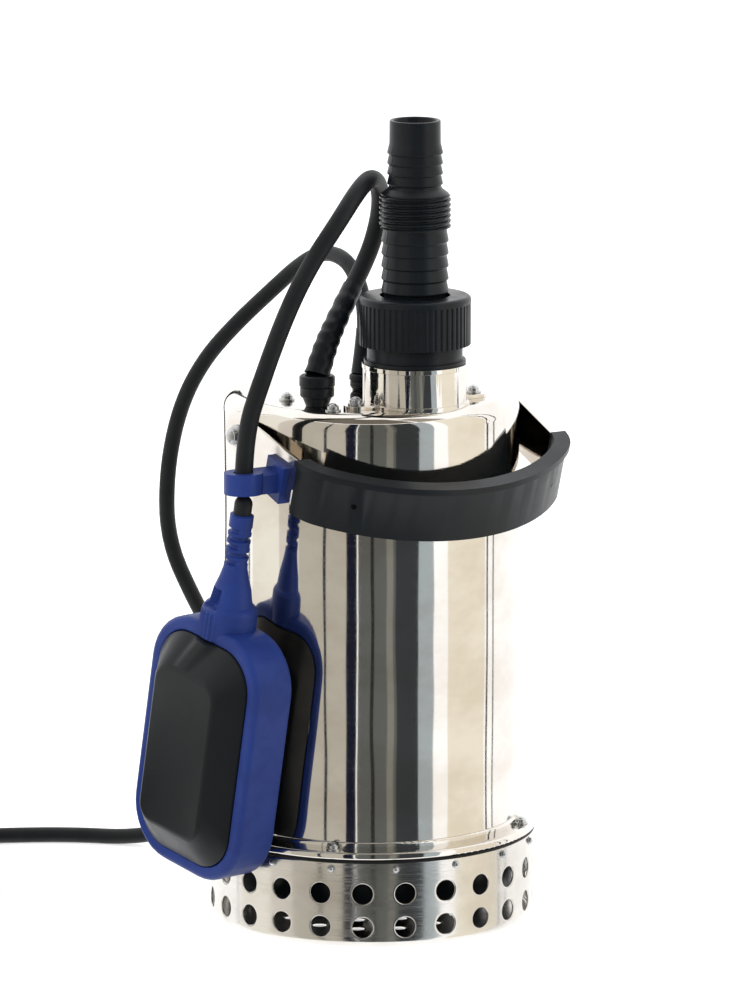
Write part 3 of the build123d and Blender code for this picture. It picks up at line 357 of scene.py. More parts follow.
# %% Group: steel sheet
def steel_sheet_group():
    """Waves: slow noise, tall and narrow. Lines: noise squeezed along Z. Clouds: soft noise."""
    tree, given, out = new_group("steel_sheet", {"Waves": 1.0, "Lines": 0.1},
                                 ["Height", "Clouds", "Lines"])
    waves = noise_on_piece(tree, (34, 34, 13), detail=1.0)
    lines = noise_on_piece(tree, (9, 9, 2600), detail=2.0)
    clouds = spread(tree, noise_on_piece(tree, (17, 17, 26), detail=4.0, roughness=0.6), 0.38, 0.66)
    tall = math_node(tree, "MULTIPLY", waves, given.outputs["Waves"])
    fine = math_node(tree, "MULTIPLY", lines, given.outputs["Lines"])
    tree.links.new(math_node(tree, "ADD", tall, fine), out.inputs["Height"])
    tree.links.new(clouds, out.inputs["Clouds"])
    tree.links.new(spread(tree, lines, 0.35, 0.7), out.inputs["Lines"])
    return tree


# %% Group: moulded surface
def moulded_group():
    """Grain: fine noise. Mottle: broad noise. Scuffs: where the surface is convex, broken up."""
    tree, given, out = new_group("moulded", {"Edge": 0.62}, ["Height", "Mottle", "Scuffs"])
    grain = noise_on_piece(tree, (2400, 2400, 2400), detail=2.0)
    mottle = spread(tree, noise_on_piece(tree, (40, 40, 40), detail=5.0, roughness=0.65),
                    0.36, 0.68)
    shape = tree.nodes.new("ShaderNodeNewGeometry")
    convex = math_node(tree, "SUBTRACT", shape.outputs["Pointiness"], given.outputs["Edge"])
    convex = math_node(tree, "MULTIPLY", convex, 2.5)
    breaks = spread(tree, noise_on_piece(tree, (260, 260, 260), detail=3.0), 0.42, 0.62)
    scuffs = math_node(tree, "MULTIPLY", convex, breaks)
    scuffs = math_node(tree, "MAXIMUM", math_node(tree, "MINIMUM", scuffs, 1.0), 0.0)
    tree.links.new(grain, out.inputs["Height"])
    tree.links.new(mottle, out.inputs["Mottle"])
    tree.links.new(scuffs, out.inputs["Scuffs"])
    return tree


steel_sheet = steel_sheet_group()
moulded = moulded_group()
print("node groups:", [tree.name for tree in bpy.data.node_groups])

# %% [markdown]
# ## Finishes
# Steel is a metal with a warm grey colour that drifts a little, and a rather low roughness that
# the polish lines break. Plastics and rubber are dull, with a grain and paler scuffed edges. The
# grip's finish has no scuffs, since its few large faces would smear them.

# %% Material helpers
def new_material(name):
    """Material with its node tree and its shader."""
    material = bpy.data.materials.new(name)
    material.use_nodes = True
    return material, material.node_tree, material.node_tree.nodes["Principled BSDF"]


def place_group(tree, group, **values):
    """Copy of a node group in a tree, with its input values."""
    node = tree.nodes.new("ShaderNodeGroup")
    node.node_tree = group
    for label, value in values.items():
        node.inputs[label].default_value = value
    return node


def mixed_colour(tree, mask, first, second):
    """Colour that goes from the first to the second with a mask."""
    mix = tree.nodes.new("ShaderNodeMix")
    mix.data_type = "RGBA"
    for socket, value in ((mix.inputs[6], first), (mix.inputs[7], second)):
        if isinstance(value, tuple):
            socket.default_value = (*value, 1.0)
        else:
            tree.links.new(value, socket)
    tree.links.new(mask, mix.inputs[0])
    return mix.outputs[2]


def raise_surface(tree, shader, height, distance):
    """Bump that feeds the shader's normal. The distance is in millimetres."""
    bump = tree.nodes.new("ShaderNodeBump")
    bump.inputs["Distance"].default_value = distance * mm
    bump.inputs["Strength"].default_value = 1.0
    tree.links.new(height, bump.inputs["Height"])
    tree.links.new(bump.outputs["Normal"], shader.inputs["Normal"])


# %% Steels
def steel(name, light, dark, smooth, rough, waves, lines, distance):
    """Sheet or machined steel, from its two tints, two roughnesses and the size of its waves."""
    material, tree, shader = new_material(name)
    sheet = place_group(tree, steel_sheet, Waves=waves, Lines=lines)
    tree.links.new(mixed_colour(tree, sheet.outputs["Clouds"], light, dark),
                   shader.inputs["Base Color"])
    shader.inputs["Metallic"].default_value = 1.0
    tree.links.new(spread(tree, sheet.outputs["Lines"], 0.0, 1.0, smooth, rough),
                   shader.inputs["Roughness"])
    raise_surface(tree, shader, sheet.outputs["Height"], distance)
    return material


# %% Plastics and rubbers
low_gloss = 0.24
never_scuffed = 2.0


def moulding(name, colour, scuffed, smooth, rough, grain, mottle_tone=0.82, metallic=0.0,
             edge=0.62):
    """Moulded or cast material, from its colour, its scuffed colour and two roughnesses."""
    material, tree, shader = new_material(name)
    skin = place_group(tree, moulded, Edge=edge)
    shade = tuple(c * mottle_tone for c in colour)
    body_colour = mixed_colour(tree, skin.outputs["Mottle"], colour, shade)
    tree.links.new(mixed_colour(tree, skin.outputs["Scuffs"], body_colour, scuffed),
                   shader.inputs["Base Color"])
    shader.inputs["Metallic"].default_value = metallic
    shader.inputs["Specular IOR Level"].default_value = low_gloss
    tree.links.new(spread(tree, skin.outputs["Mottle"], 0.0, 1.0, smooth, rough),
                   shader.inputs["Roughness"])
    raise_surface(tree, shader, skin.outputs["Height"], grain)
    return material


finish = {
    "steel_mirror": steel("polished_steel", (0.80, 0.775, 0.735), (0.70, 0.655, 0.60), 0.045,
                          0.085, 1.0, 0.012, 0.30),
    "steel_satin": steel("drawn_steel", (0.76, 0.74, 0.71), (0.64, 0.61, 0.57), 0.12,
                         0.24, 1.0, 0.03, 0.30),
    "steel_machined": steel("turned_steel", (0.74, 0.73, 0.71), (0.62, 0.61, 0.60), 0.14,
                            0.28, 0.3, 0.05, 0.10),
    # Blackened steel made near-black, darker than the grip: partly the pins' own dark finish,
    # partly painted shade, so the flush grip pins read as shaded holes.
    "steel_blackened": steel("pins_painted_hole_shade", (0.012, 0.012, 0.014), (0.008, 0.008, 0.010), 0.34,
                             0.46, 0.3, 0.05, 0.05),
    "zinc": steel("zinc_plate", (0.66, 0.67, 0.68), (0.52, 0.53, 0.55), 0.24, 0.38, 0.3, 0.05,
                  0.10),
    "plastic_black": moulding("black_plastic", (0.0085, 0.0110, 0.0140), (0.034, 0.037, 0.041),
                              0.29, 0.38, 0.012),
    "plastic_grip": moulding("grip_plastic", (0.0085, 0.0110, 0.0140), (0.034, 0.037, 0.041),
                             0.29, 0.38, 0.012, edge=never_scuffed),
    "plastic_blue": moulding("blue_plastic", (0.0160, 0.0400, 0.2100), (0.050, 0.085, 0.320),
                             0.38, 0.50, 0.010),
    "plastic_float": moulding("charcoal_plastic", (0.0105, 0.0125, 0.0150),
                              (0.034, 0.037, 0.041), 0.29, 0.38, 0.016),
    "cable_rubber": moulding("cable_rubber", (0.0120, 0.0135, 0.0150), (0.034, 0.035, 0.038),
                             0.46, 0.60, 0.020),
    "seal_rubber": moulding("seal_rubber", (0.0080, 0.0080, 0.0085), (0.020, 0.020, 0.021),
                            0.50, 0.66, 0.015),
    "aluminium_cast": moulding("cast_aluminium", (0.48, 0.48, 0.47), (0.62, 0.62, 0.60), 0.42,
                               0.58, 0.060, 0.86, 1.0),
    "laminations": steel("laminated_iron", (0.33, 0.33, 0.34), (0.24, 0.22, 0.21), 0.40, 0.60,
                         0.1, 1.0, 0.05),
    "copper": moulding("enamelled_copper", (0.48, 0.17, 0.065), (0.66, 0.30, 0.14), 0.28, 0.42,
                       0.080, 0.78, 0.6),
    "impeller_plastic": moulding("glass_filled_plastic", (0.055, 0.056, 0.058),
                                 (0.11, 0.11, 0.11), 0.42, 0.56, 0.025),
    "plug_brass": steel("nickelled_brass", (0.74, 0.70, 0.62), (0.62, 0.57, 0.48), 0.12, 0.26,
                        0.2, 0.08, 0.05),
    "ceramic": moulding("seal_ceramic", (0.62, 0.60, 0.56), (0.70, 0.68, 0.64), 0.16, 0.26,
                        0.005),
    "capacitor_can": moulding("capacitor_sleeve", (0.52, 0.53, 0.54), (0.60, 0.61, 0.62), 0.34,
                              0.46, 0.010),
}
print(len(finish), "finishes")

# %% [markdown]
# ## The frame's own solids
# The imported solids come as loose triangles, each with its slot in the record. All get the finish
# of their slot. Those that show are copied first, and the copy is merged, shaded smooth up to
# its true edges and given small rounded edges, since a real edge always catches light.

# %% Finishes for the frame's solids
slot_of = {part["node"]: part["material_slot"] for part in frame["record"]["subparts"]}
body_of = {node: body for body, nodes in frame["record"]["behaviour"]["bodies"].items()
           for node in nodes}
for node, solid in frame["nodes"].items():
    solid.data.materials.clear()
    solid.data.materials.append(finish[slot_of[node]])
print(len(slot_of), "solids have their finish")


# %% Softened copies
def softened(node, round_by, sharp=32):
    """Merged copy of a solid with rounded edges, which stands for it."""
    mesh = frame["nodes"][node].data.copy()
    mesh.name = node + "_dressed"
    tidy_mesh(mesh, sharp, merge=2e-6, flat=1.0)
    mesh.materials.clear()
    mesh.materials.append(finish[slot_of[node]])
    piece = bpy.data.objects.new(node + "_dressed", mesh)
    scene.collection.objects.link(piece)
    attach(piece, body_of[node])
    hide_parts(node)
    if round_by:
        bevel(piece, round_by, sharp)


edge_rounding = {
    "outer_shell": 0.0, "discharge_spout": 0.25, "adapter_body": 0.3, "collar_nut": 0.22,
    "base_flange": 0.0, "base_ring": 0.2, "flange_gasket": 0.2,
    "rim_rivets": 0.12, "flange_screws": 0.2, "top_screws": 0.25, "handle_pivot_screws": 0.3,
    "handle_pivot_bushes": 0.2, "float_gland_body": 0.3, "float_gland_cap": 0.3,
    "mains_gland_body": 0.25, "mains_gland_cap": 0.25, "handle_strap": 0.35,
    "handle_grip": 0.7, "grip_screws": 0.2, "cable_clip": 0.6, "float_cable_end": 0.0,
    "plug_pins": 0.0,
}
for node, width in edge_rounding.items():
    softened(node, width)
bpy.data.meshes["handle_grip_dressed"].materials[0] = finish["plastic_grip"]
# The grip's flush pins get the near-black finish: painted shade of the holes they stand for.
bpy.data.meshes["grip_screws_dressed"].materials[0] = finish["steel_blackened"]
print(len(edge_rounding), "solids are dressed with softened copies")

# %% [markdown]
# ## The float's cable
# A limp cable climbs out of its boot, bows over and falls through the clip on the handle. Its
# first part belongs to the pump and its last part to the handle. The tube is built on the pump,
# then taken off it and left where it lies. It is a tube whose points follow the same line.

# %% Tubes along a line
def tube(line, radius, across, sides=20):
    """Tube round a line: at each point a ring radius (cos a side + sin a up), where side is
    square to the line's direction and to a fixed vector across it. The radius may vary."""
    ahead = np.gradient(line, axis=0)
    ahead = ahead / np.linalg.norm(ahead, axis=1, keepdims=True)
    side = np.cross(ahead, np.array(across, float))
    side = side / np.linalg.norm(side, axis=1, keepdims=True)
    up = np.cross(side, ahead)
    angle = np.linspace(0, 2 * np.pi, sides, endpoint=False)[None, :, None]
    size = np.broadcast_to(np.asarray(radius, float), len(line))[:, None, None]
    ring = line[:, None] + size * (np.cos(angle) * side[:, None] + np.sin(angle) * up[:, None])
    ends = [np.repeat(line[[end]], sides, axis=0)[None] for end in (0, -1)]
    return patch(np.concatenate([ends[0], ring, ends[1]]), close_columns=True)


# %% Boot and cable of the float
boot_route = [(-46, -25, 281.5), (-41, -23, 293), (-29, -16, 307), (-15, -7, 320)]
float_route = [
    (-15, -7, 320), (-4, -2, 332), (2, -2, 347), (1, -8, 362), (-6, -17, 373), (-17, -28, 378),
    (-30, -38, 374), (-45, -44, 360), (-59, -41, 340), (-72, -40, 317), (-85, -39, 286),
    (-94.41, -36.474, 256.991), (-94.71, -36.474, 228.0),
]
float_line = line_points(float_route, steps=12)
float_cable_r = 4.5
float_cable = new_piece("float_cable_jacket", [tube(float_line, float_cable_r, (0.15, 1.0, 0.1))],
                        finish["cable_rubber"], "pump", ["float_cable"])
float_cable.parent = None
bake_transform(float_cable)

boot_start_r, boot_taper, boot_rib, boot_rib_count = 6.3, 1.3, 0.22, 7
boot_line = line_points(boot_route, steps=16)
way = np.linspace(0, 1, len(boot_line))
boot_ribs = boot_rib * np.cos(way * 2 * np.pi * boot_rib_count) * (way < 0.93)
boot_size = boot_start_r - boot_taper * way + boot_ribs
new_piece("float_boot", [tube(boot_line, boot_size, (0.2, 1.0, 0.1), 28)],
          finish["plastic_black"], "pump", ["float_cable_boot"])

# %% Relief of the mains lead
relief_length, relief_start_r, relief_taper = 24, 5.5, 1.2
relief_line = mains_line[:42]
relief_line = relief_line[np.linalg.norm(relief_line - relief_line[0], axis=1) < relief_length]
way = np.linspace(0, 1, len(relief_line))
relief_tube = tube(relief_line, relief_start_r - relief_taper * way, (0.9, -0.3, 0.1), 28)
mains_relief = new_piece("mains_relief", [relief_tube], finish["plastic_black"], "pump")

# %% [markdown]
# ## Plug and tie
# The plug is a lathe piece that was moulded round its cable: a neck with ribs that let it bend, a
# waist for the fingers and a broad face with two pins. It lies on the coil. A strip of rubber
# holds the turns together.

# %% Plug
plug_length = 39
plug_profile = rounded([
    (0, -plug_length), (5.0, -plug_length), (5.0, -36.6),
    (6.4, -36.2), (6.4, -33.8), (5.2, -33.4), (5.2, -31.2),
    (6.9, -30.8), (6.9, -28.4), (5.5, -28.0), (5.5, -25.8), (7.4, -25.4), (7.4, -23.0),
    (7.0, -22.0), (9.5, -17.0), (13.8, -9.0), (13.0, -2.0), (17.0, 8.0), (17.0, 17.0),
    (14.6, 17.0), (14.2, 16.2), (0, 16.2),
], 0.5, 3)
plug_surface = lathe(plug_profile, steps=72)


def in_plug_frame(points):
    """Turns a shape whose axis is Z to lie on the coil, pointing along -Y at the plug's place."""
    centre = np.array(plug_rear) + (0, -plug_length, 0)
    return np.stack([-points[:, 0], -points[:, 2], points[:, 1]], axis=1) * (-1, 1, 1) + centre


plug = new_piece("plug_body", [(in_plug_frame(plug_surface[0]), plug_surface[1])],
                 finish["plastic_black"], "pump", ["mains_plug"])

# %% Tie
tie_angle = math.radians(-60)
tie_x, tie_z, tie_half_width, tie_thickness = 20.8, 16.8, 4.0, 1.1
coil_mean_r, coil_mid_height = 68, 17.4
tie_outline = rounded([(-tie_x, -tie_z), (tie_x, -tie_z), (tie_x, tie_z), (-tie_x, tie_z)], 3.6, 5)
tie_band = []
for growth, edge in ((0, -1), (tie_thickness, -1), (tie_thickness, 1), (0, 1)):
    ring = tie_outline * (1 + growth / tie_x)
    across = np.full(len(ring), edge * tie_half_width)
    tie_band.append(np.stack([ring[:, 0], across, ring[:, 1]], axis=1))
tie_band = np.array(tie_band)
along, over = tie_band[..., 0] + coil_mean_r, tie_band[..., 1]
tie_band = np.stack([
    coil_centre[0] + along * math.cos(tie_angle) - over * math.sin(tie_angle),
    coil_centre[1] + along * math.sin(tie_angle) + over * math.cos(tie_angle),
    tie_band[..., 2] + coil_mid_height], axis=-1)
tie = new_piece("coil_strap", [patch(tie_band, True, True)], finish["seal_rubber"], "pump",
                ["coil_tie"])
bevel(tie, 0.3)

# %% The mains lead is merged, shaded smooth and given its rubber
tidy_mesh(mains_lead.data, 50)
mains_lead.data.materials.append(finish["cable_rubber"])

# %% [markdown]
# ## Stepped hose tail
# One moulded tail fits two hoses: large barbs, a male thread, then small barbs up to a plain end
# that can be cut off. Barbs are part of the lathe outline. The thread isn't, because it climbs as
# it goes round, so it is a ripple on the radius that depends on both angle and height.

# %% Thread and seam of the tail
outlet = (0.0, -42.0)
thread_low, thread_high, thread_pitch, thread_depth = 353.4, 370.2, 2.6, 1.35
large_land, large_crest, small_land, small_crest = 15.7, 16.6, 12.9, 13.75


def tail_ripple(angle, height):
    """Thread: depth times a flat-topped wave of (height / pitch - angle / turn), inside the
    thread's length. Seam: a fine ridge on both sides, where the mould's halves met."""
    wave = ((height - thread_low) / thread_pitch - angle / (2 * np.pi)) % 1
    crest = np.clip((0.72 - np.abs(2 * wave - 1)) / 0.42, 0, 1)
    inside = (height > thread_low + 0.3) & (height < thread_high - 0.6)
    seam = 0.16 * np.exp(-(np.sin(angle) / 0.03) ** 2) * (height > 321) * (height < 394)
    return thread_depth * crest * inside + seam


def barb_outline(low, high, count, crest, land):
    """Barbs going up: each rises steeply to its crest and slopes back in to the land."""
    base = low + np.arange(count)[:, None] * (high - low) / count
    step = (high - low) / count
    radius = np.tile([land, crest, crest, land], (count, 1))
    height = base + step * np.array([0.02, 0.14, 0.24, 0.96])
    return np.stack([radius.ravel(), height.ravel()], axis=1)


# %% Hose tail
thread_rows = np.arange(thread_low + 0.2, thread_high - 0.3, 0.2)
tail_low = rounded([(10.4, 308.2), (20.3, 308.2), (20.3, 312.6), (15.3, 312.6), (15.3, 320.6)],
                   0.3, 2, closed=False)
tail_outline = np.vstack([
    tail_low,
    rounded(barb_outline(321.0, 352.4, 5, large_crest, large_land), 0.25, 2, closed=False),
    np.stack([np.full(len(thread_rows), 16.3), thread_rows], axis=1),
    rounded([(16.9, 369.9), (16.6, 370.6), (13.4, 373.0), (12.9, 374.2)], 0.5, 3, closed=False),
    rounded(barb_outline(374.6, 394.8, 4, small_crest, small_land), 0.25, 2, closed=False),
    rounded([(12.7, 395.4), (12.6, 406.8), (10.9, 406.8), (10.4, 405.9)], 0.6, 4, closed=False),
    [(10.4, 308.8)],
])
new_piece("stepped_tail", [lathe(tail_outline, outlet, 192, tail_ripple)],
          finish["plastic_black"], "pump", ["hose_tail"], sharp=50)

# %% [markdown]
# ## Float
# The float hangs tilted, so it is shaped in its own frame and turned into place. Its two halves
# are shells with a raised face: slices of a rounded rectangle, each set further in and further
# out than the one before. The bend relief is a lathe piece whose radius also depends on the angle.
# Lengths are in millimetres.

# %% The float's own frame
hang = np.array((-94.710, -36.474, 223.491))
face_angle = math.radians(191.3)
lean = math.radians(10.7)
tangent = np.array((-math.sin(face_angle), math.cos(face_angle), 0.0))
upwards = np.array((0.0, 0.0, 1.0))
float_z = upwards * math.cos(lean) + tangent * math.sin(lean)
float_x = tangent * math.cos(lean) - upwards * math.sin(lean)
float_y = np.cross(float_z, float_x)
float_width, float_length_z, float_corner = 80, 128, 27
float_middle = -127.0


def hung(part):
    """Turns a patch from the float's frame, where Z runs up the cable, into place."""
    points, quads = part
    return points @ np.array([float_x, float_y, float_z]) + hang, quads


def resampled(outline, count):
    """Closed outline with a given number of points, evenly spread along its length."""
    loop = np.vstack([outline, outline[:1]])
    length = np.concatenate([[0], np.cumsum(np.linalg.norm(np.diff(loop, axis=0), axis=1))])
    wanted = np.linspace(0, length[-1], count, endpoint=False)
    return np.stack([np.interp(wanted, length, loop[:, axis]) for axis in (0, 1)], axis=1)


def rounded_rectangle(width, height, corner, count=224):
    """Outline of a rectangle with round corners."""
    x, z = width / 2, height / 2
    return resampled(rounded([(x, z), (-x, z), (-x, -z), (x, -z)], corner, 8), count)


def float_slice(inset_x, inset_z, corner, depth):
    """Row of points: the float's outline set in from its sides and ends, at a depth."""
    ring = rounded_rectangle(float_width - 2 * inset_x, float_length_z - 2 * inset_z, corner)
    return np.stack([ring[:, 0], depth + 0 * ring[:, 0], ring[:, 1]], axis=1)


# %% Float halves
front_face, back_face, half_wall = 24.6, 19.7, 2.4
ridge_height, ridge_half_width = 5.2, 6.0


def float_half(side, face):
    """Rows of outlines: out along the band, over a bevel and across the face, then back on the
    inside. The front half is the deeper one, and has a ridge over the cable's entry."""
    outer = rounded([(7.1, 7.1, 0.3), (7.1, 7.1, 12.9), (18.5, 23.0, face), (31, 52, face)],
                    [0, 0.9, 2.4, 0], 5, closed=False)
    inner = np.array([(31, 52, face - half_wall), (19, 23.5, face - half_wall),
                      (9.5, 9.5, 11.5), (9.5, 9.5, 0.3)])
    rows = []
    for inset_x, inset_z, depth in np.vstack([outer, inner]):
        row = float_slice(inset_x, inset_z, max(float_corner - inset_x, 5), depth)
        if side < 0 and depth > 12 and inset_x < 30:
            rise = np.clip((row[:, 2] - 42.0) / 9.0, 0, 1) * np.clip((57.6 - row[:, 2]) / 2, 0, 1)
            bump = np.exp(-(row[:, 0] / ridge_half_width) ** 4)
            row[:, 1] += ridge_height * bump * rise ** 2 * (3 - 2 * rise)
        rows.append(row * (1, side, 1) + (0, 0, float_middle))
    rows = np.array(rows)
    split = len(outer)
    tip = np.repeat(rows[split - 1].mean(axis=0)[None], rows.shape[1], axis=0)
    hollow_tip = np.repeat(rows[split].mean(axis=0)[None], rows.shape[1], axis=0)
    rows = np.concatenate([rows[:split], tip[None], hollow_tip[None], rows[split:]])
    return hung(patch(rows, close_rows=True, close_columns=True))


for side, face, node in ((-1, front_face, "float_body_front"), (1, back_face, "float_body_back")):
    new_piece(node + "_shell", [float_half(side, face)], finish["plastic_float"], "float",
              [node], sharp=50)

# %% Float band
half_band, band_wall = 12.5, 6.9
band_profile = rounded([(0, -half_band), (0, half_band), (band_wall, half_band),
                        (band_wall, -half_band)], [3.4, 3.4, 0.9, 0.9], 6)
band_rows = np.array([float_slice(inset, inset, float_corner - inset, depth)
                      for inset, depth in band_profile]) + (0, 0, float_middle)
new_piece("float_rim", [hung(patch(band_rows, True, True))], finish["plastic_blue"], "float",
          ["float_band"], sharp=50)

# %% Bend relief: heights along the cable, radii and ribs
relief_heights = [-5.0, -5.6, -11.0, -31.5, -33.0, -38.0, -44.0, -49.0, -51.5, -52.6, -54.5,
                  -60.0, -69.0, -69.5]
relief_radii = [5.0, 5.9, 5.9, 5.9, 6.0, 7.3, 9.3, 10.2, 10.8, 12.4, 13.6, 14.0, 14.0, 13.2]
rib_low, rib_high, rib_pitch, rib_depth = -31.5, -11.5, 4.1, 1.5
ridge_side, ridge_depth, ridge_count = math.radians(-118), 0.45, 30
slot_side, slot_depth = math.radians(-102), 4.2


def relief_ripple(angle, height):
    """Ribs: cut back between rings, except on a bridge that changes sides with each ring. Grip
    ridges on the left of the collar. A slot in the neck, where the cable's clamp shows."""
    ring = (height - rib_low) / rib_pitch
    gap = np.clip((np.abs((ring % 1) - 0.5) - 0.22) / 0.10, 0, 1)
    bridge = np.clip(np.cos(angle + np.pi * np.floor(ring)) * 4 - 2.6, 0, 1)
    ribbed = (height > rib_low) & (height < rib_high)
    cut = rib_depth * (1 - gap) * (1 - bridge) * ribbed
    left = np.clip((np.cos(angle - ridge_side) - 0.62) / 0.1, 0, 1)
    low = np.clip((-54.5 - height) / 1.5, 0, 1) * np.clip((height + 68.8) / 0.8, 0, 1)
    ridges = ridge_depth * np.cos(angle * ridge_count) * left * low
    slot = np.clip((np.cos(angle - slot_side) - 0.905) / 0.03, 0, 1)
    slot = slot * np.clip(height + 54.0, 0, 1) * np.clip(-43.5 - height, 0, 1)
    return ridges - cut - slot_depth * slot


fine = np.arange(-5.0, -69.6, -0.3)
relief_outline = np.stack([np.interp(-fine, -np.array(relief_heights), relief_radii), fine], axis=1)
relief_outline = np.vstack([[(0.0, -5.0)], relief_outline, [(0.0, -69.5)]])
new_piece("float_relief", [hung(lathe(relief_outline, steps=180, ripple=relief_ripple))],
          finish["plastic_blue"], "float", ["float_strain_relief"], sharp=50)

# %% [markdown]
# ## Strainer basket
# The foot is one drawn sheet with two rows of holes punched inwards, so each hole has a rolled
# lip. Cutting it with booleans leaves ragged edges, so the sheet is made of cells instead: rings
# that go from a cell's four sides to its hole. The cells share their sides and merge.

# %% One pierced cell
basket_r, basket_corner, basket_wall, basket_top = 81.6, 4.0, 1.0, 43.4
holes_per_row, hole_phase, wall_hole_r = 24, -4.0, 5.1
lower_hole, upper_hole, row_middle, row_top = 10.2, 27.2, 18.7, 35.7
floor_hole_r, floor_inner_r, floor_middle_r, floor_outer_r = 3.5, 18, 38, 54
samples_per_cell = 7
around_count = holes_per_row * samples_per_cell
cell_width = 360 / holes_per_row
cell_step = 360 / around_count
first_sample = hole_phase - cell_width / 2


def side_share(counts):
    """Position along a cell's four sides, 0 to 4, and the shares of width and height there."""
    u = np.concatenate([side + np.arange(count) / count for side, count in enumerate(counts)])
    across = np.clip(u, 0, 1) - np.clip(u - 2, 0, 1)
    along = np.clip(u - 1, 0, 1) - np.clip(u - 3, 0, 1)
    return u, across, along


def pierced(boundary, centre, radius, turn):
    """Rings from a cell's boundary to its hole: boundary (1-v) + rim v on the sheet, then the
    rolled lip. Gives flat points and how deep each ring lies."""
    direction = np.stack([np.cos(turn), np.sin(turn)], axis=1)
    rim = centre + (radius + 0.9) * direction
    v = np.array([0, 0.3, 0.55, 0.75, 0.9, 1.0])[:, None, None]
    sheet = boundary * (1 - v) + rim * v
    lip = centre + (radius + np.array([0.45, 0.15, 0.0])[:, None, None]) * direction
    depth = np.array([0, 0, 0, 0, 0, 0, 0.06, 0.26, 0.8])
    return np.concatenate([sheet, lip]), depth[:, None]


# %% Cells of the wall and the floor
def wall_cell(middle, low, high, hole_height):
    """Cell of the wall, worked out flat and then bent round the basket."""
    u, across, along = side_share((samples_per_cell,) * 4)
    half = math.radians(cell_width / 2) * basket_r
    boundary = np.stack([half * (2 * across - 1), low + (high - low) * along], axis=1)
    flat, depth = pierced(boundary, np.array((0.0, hole_height)), wall_hole_r,
                          np.radians(-135 + 90 * u))
    angle = math.radians(middle) + flat[..., 0] / basket_r
    radius = basket_r - depth + 0 * angle
    return patch(np.stack([radius * np.cos(angle), radius * np.sin(angle), flat[..., 1]], axis=-1),
                 close_columns=True)


def floor_cell(start, width, low, high, arc_count):
    """Cell of the floor between two radii and two angles."""
    u, across, along = side_share((arc_count, 4, arc_count, 4))
    angle = np.radians(start + width * across)
    radius = low + (high - low) * along
    boundary = np.stack([radius * np.cos(angle), radius * np.sin(angle)], axis=1)
    middle = math.radians(start + width / 2)
    centre = (low + high) / 2 * np.array((math.cos(middle), math.sin(middle)))
    flat, depth = pierced(boundary, centre, floor_hole_r, middle + np.radians(225 - 90 * u))
    return patch(np.concatenate([flat, (depth + 0 * flat[..., 0])[..., None]], axis=-1),
                 close_columns=True)


def plain_rings(profile):
    """Rings round the basket at the sample angles of its cells, from a radius-height profile."""
    angle = np.radians(first_sample + cell_step * np.arange(around_count))
    radius, height = np.array(profile, float).T[:, :, None]
    points = np.stack([radius * np.cos(angle), radius * np.sin(angle), height + 0 * angle], axis=-1)
    return patch(points, close_columns=True)


# %% Basket
basket_parts = []
for column in range(holes_per_row):
    middle = hole_phase + cell_width * column
    basket_parts.append(wall_cell(middle, basket_corner, row_middle, lower_hole))
    basket_parts.append(wall_cell(middle, row_middle, row_top, upper_hole))
for count, low, high, back in ((14, floor_middle_r, floor_outer_r, 1),
                               (8, floor_inner_r, floor_middle_r, 5)):
    for column in range(count):
        start = first_sample - back * cell_step + column * 360 / count
        basket_parts.append(floor_cell(start, 360 / count, low, high, around_count // count))
bend = np.linspace(0, np.pi / 2, 6)
corner_profile = np.stack([basket_r - basket_corner * (1 - np.cos(bend)),
                           basket_corner * (1 - np.sin(bend))], axis=1)
for profile in (
    [(basket_r, row_top), (basket_r, basket_top - 1.5), (basket_r, basket_top)],
    corner_profile,
    [(basket_r - basket_corner, 0), (66, 0), (floor_outer_r, 0)],
    [(floor_inner_r, 0), (floor_inner_r / 2, 0), (0, 0)],
):
    basket_parts.append(plain_rings(profile))
basket = new_piece("perforated_basket", basket_parts, finish["steel_satin"], "pump",
                   ["strainer_basket"], sharp=50)
thicken(basket, basket_wall)

# %% [markdown]
# ## Studio
# A white floor that keeps the soft shadow, a white surround, three soft lamps and a few upright
# cards. Polished steel shows only what stands round it, so the cards give the shell its dark and
# warm bands. Only reflections see them. The surround is a little brighter in reflections, so that
# the shell's sides and top fade into the white behind it.

# %% Floor and surround
floor_mesh = bpy.data.meshes.new("floor")
floor_mesh.from_pydata([(-9, -9, 0), (9, -9, 0), (9, 9, 0), (-9, 9, 0)], [], [(0, 1, 2, 3)])
floor_material, tree, shader = new_material("white_floor")
shader.inputs["Base Color"].default_value = (0.86, 0.86, 0.86, 1)
shader.inputs["Roughness"].default_value = 0.9
shader.inputs["Emission Color"].default_value = (1, 1, 1, 1)
path = tree.nodes.new("ShaderNodeLightPath")
tree.links.new(math_node(tree, "MULTIPLY", path.outputs["Is Camera Ray"], 0.55),
               shader.inputs["Emission Strength"])
floor_mesh.materials.append(floor_material)
floor = bpy.data.objects.new("floor", floor_mesh)
floor.visible_glossy = False
scene.collection.objects.link(floor)

world = bpy.data.worlds.new("surround")
world.use_nodes = True
scene.world = world
tree = world.node_tree
sky = tree.nodes["Background"]
sky.inputs["Color"].default_value = (1, 1, 1, 1)
path = tree.nodes.new("ShaderNodeLightPath")
seen = math_node(tree, "MAXIMUM", path.outputs["Is Camera Ray"], path.outputs["Is Glossy Ray"])
seen = math_node(tree, "MAXIMUM", seen, path.outputs["Is Transmission Ray"])
lit = spread(tree, seen, 0.0, 1.0, 0.62, 1.0)
mirrored = spread(tree, path.outputs["Is Glossy Ray"], 0.0, 1.0, 0.0, 1.32)
tree.links.new(math_node(tree, "MAXIMUM", lit, mirrored), sky.inputs["Strength"])
print("floor and surround are white")

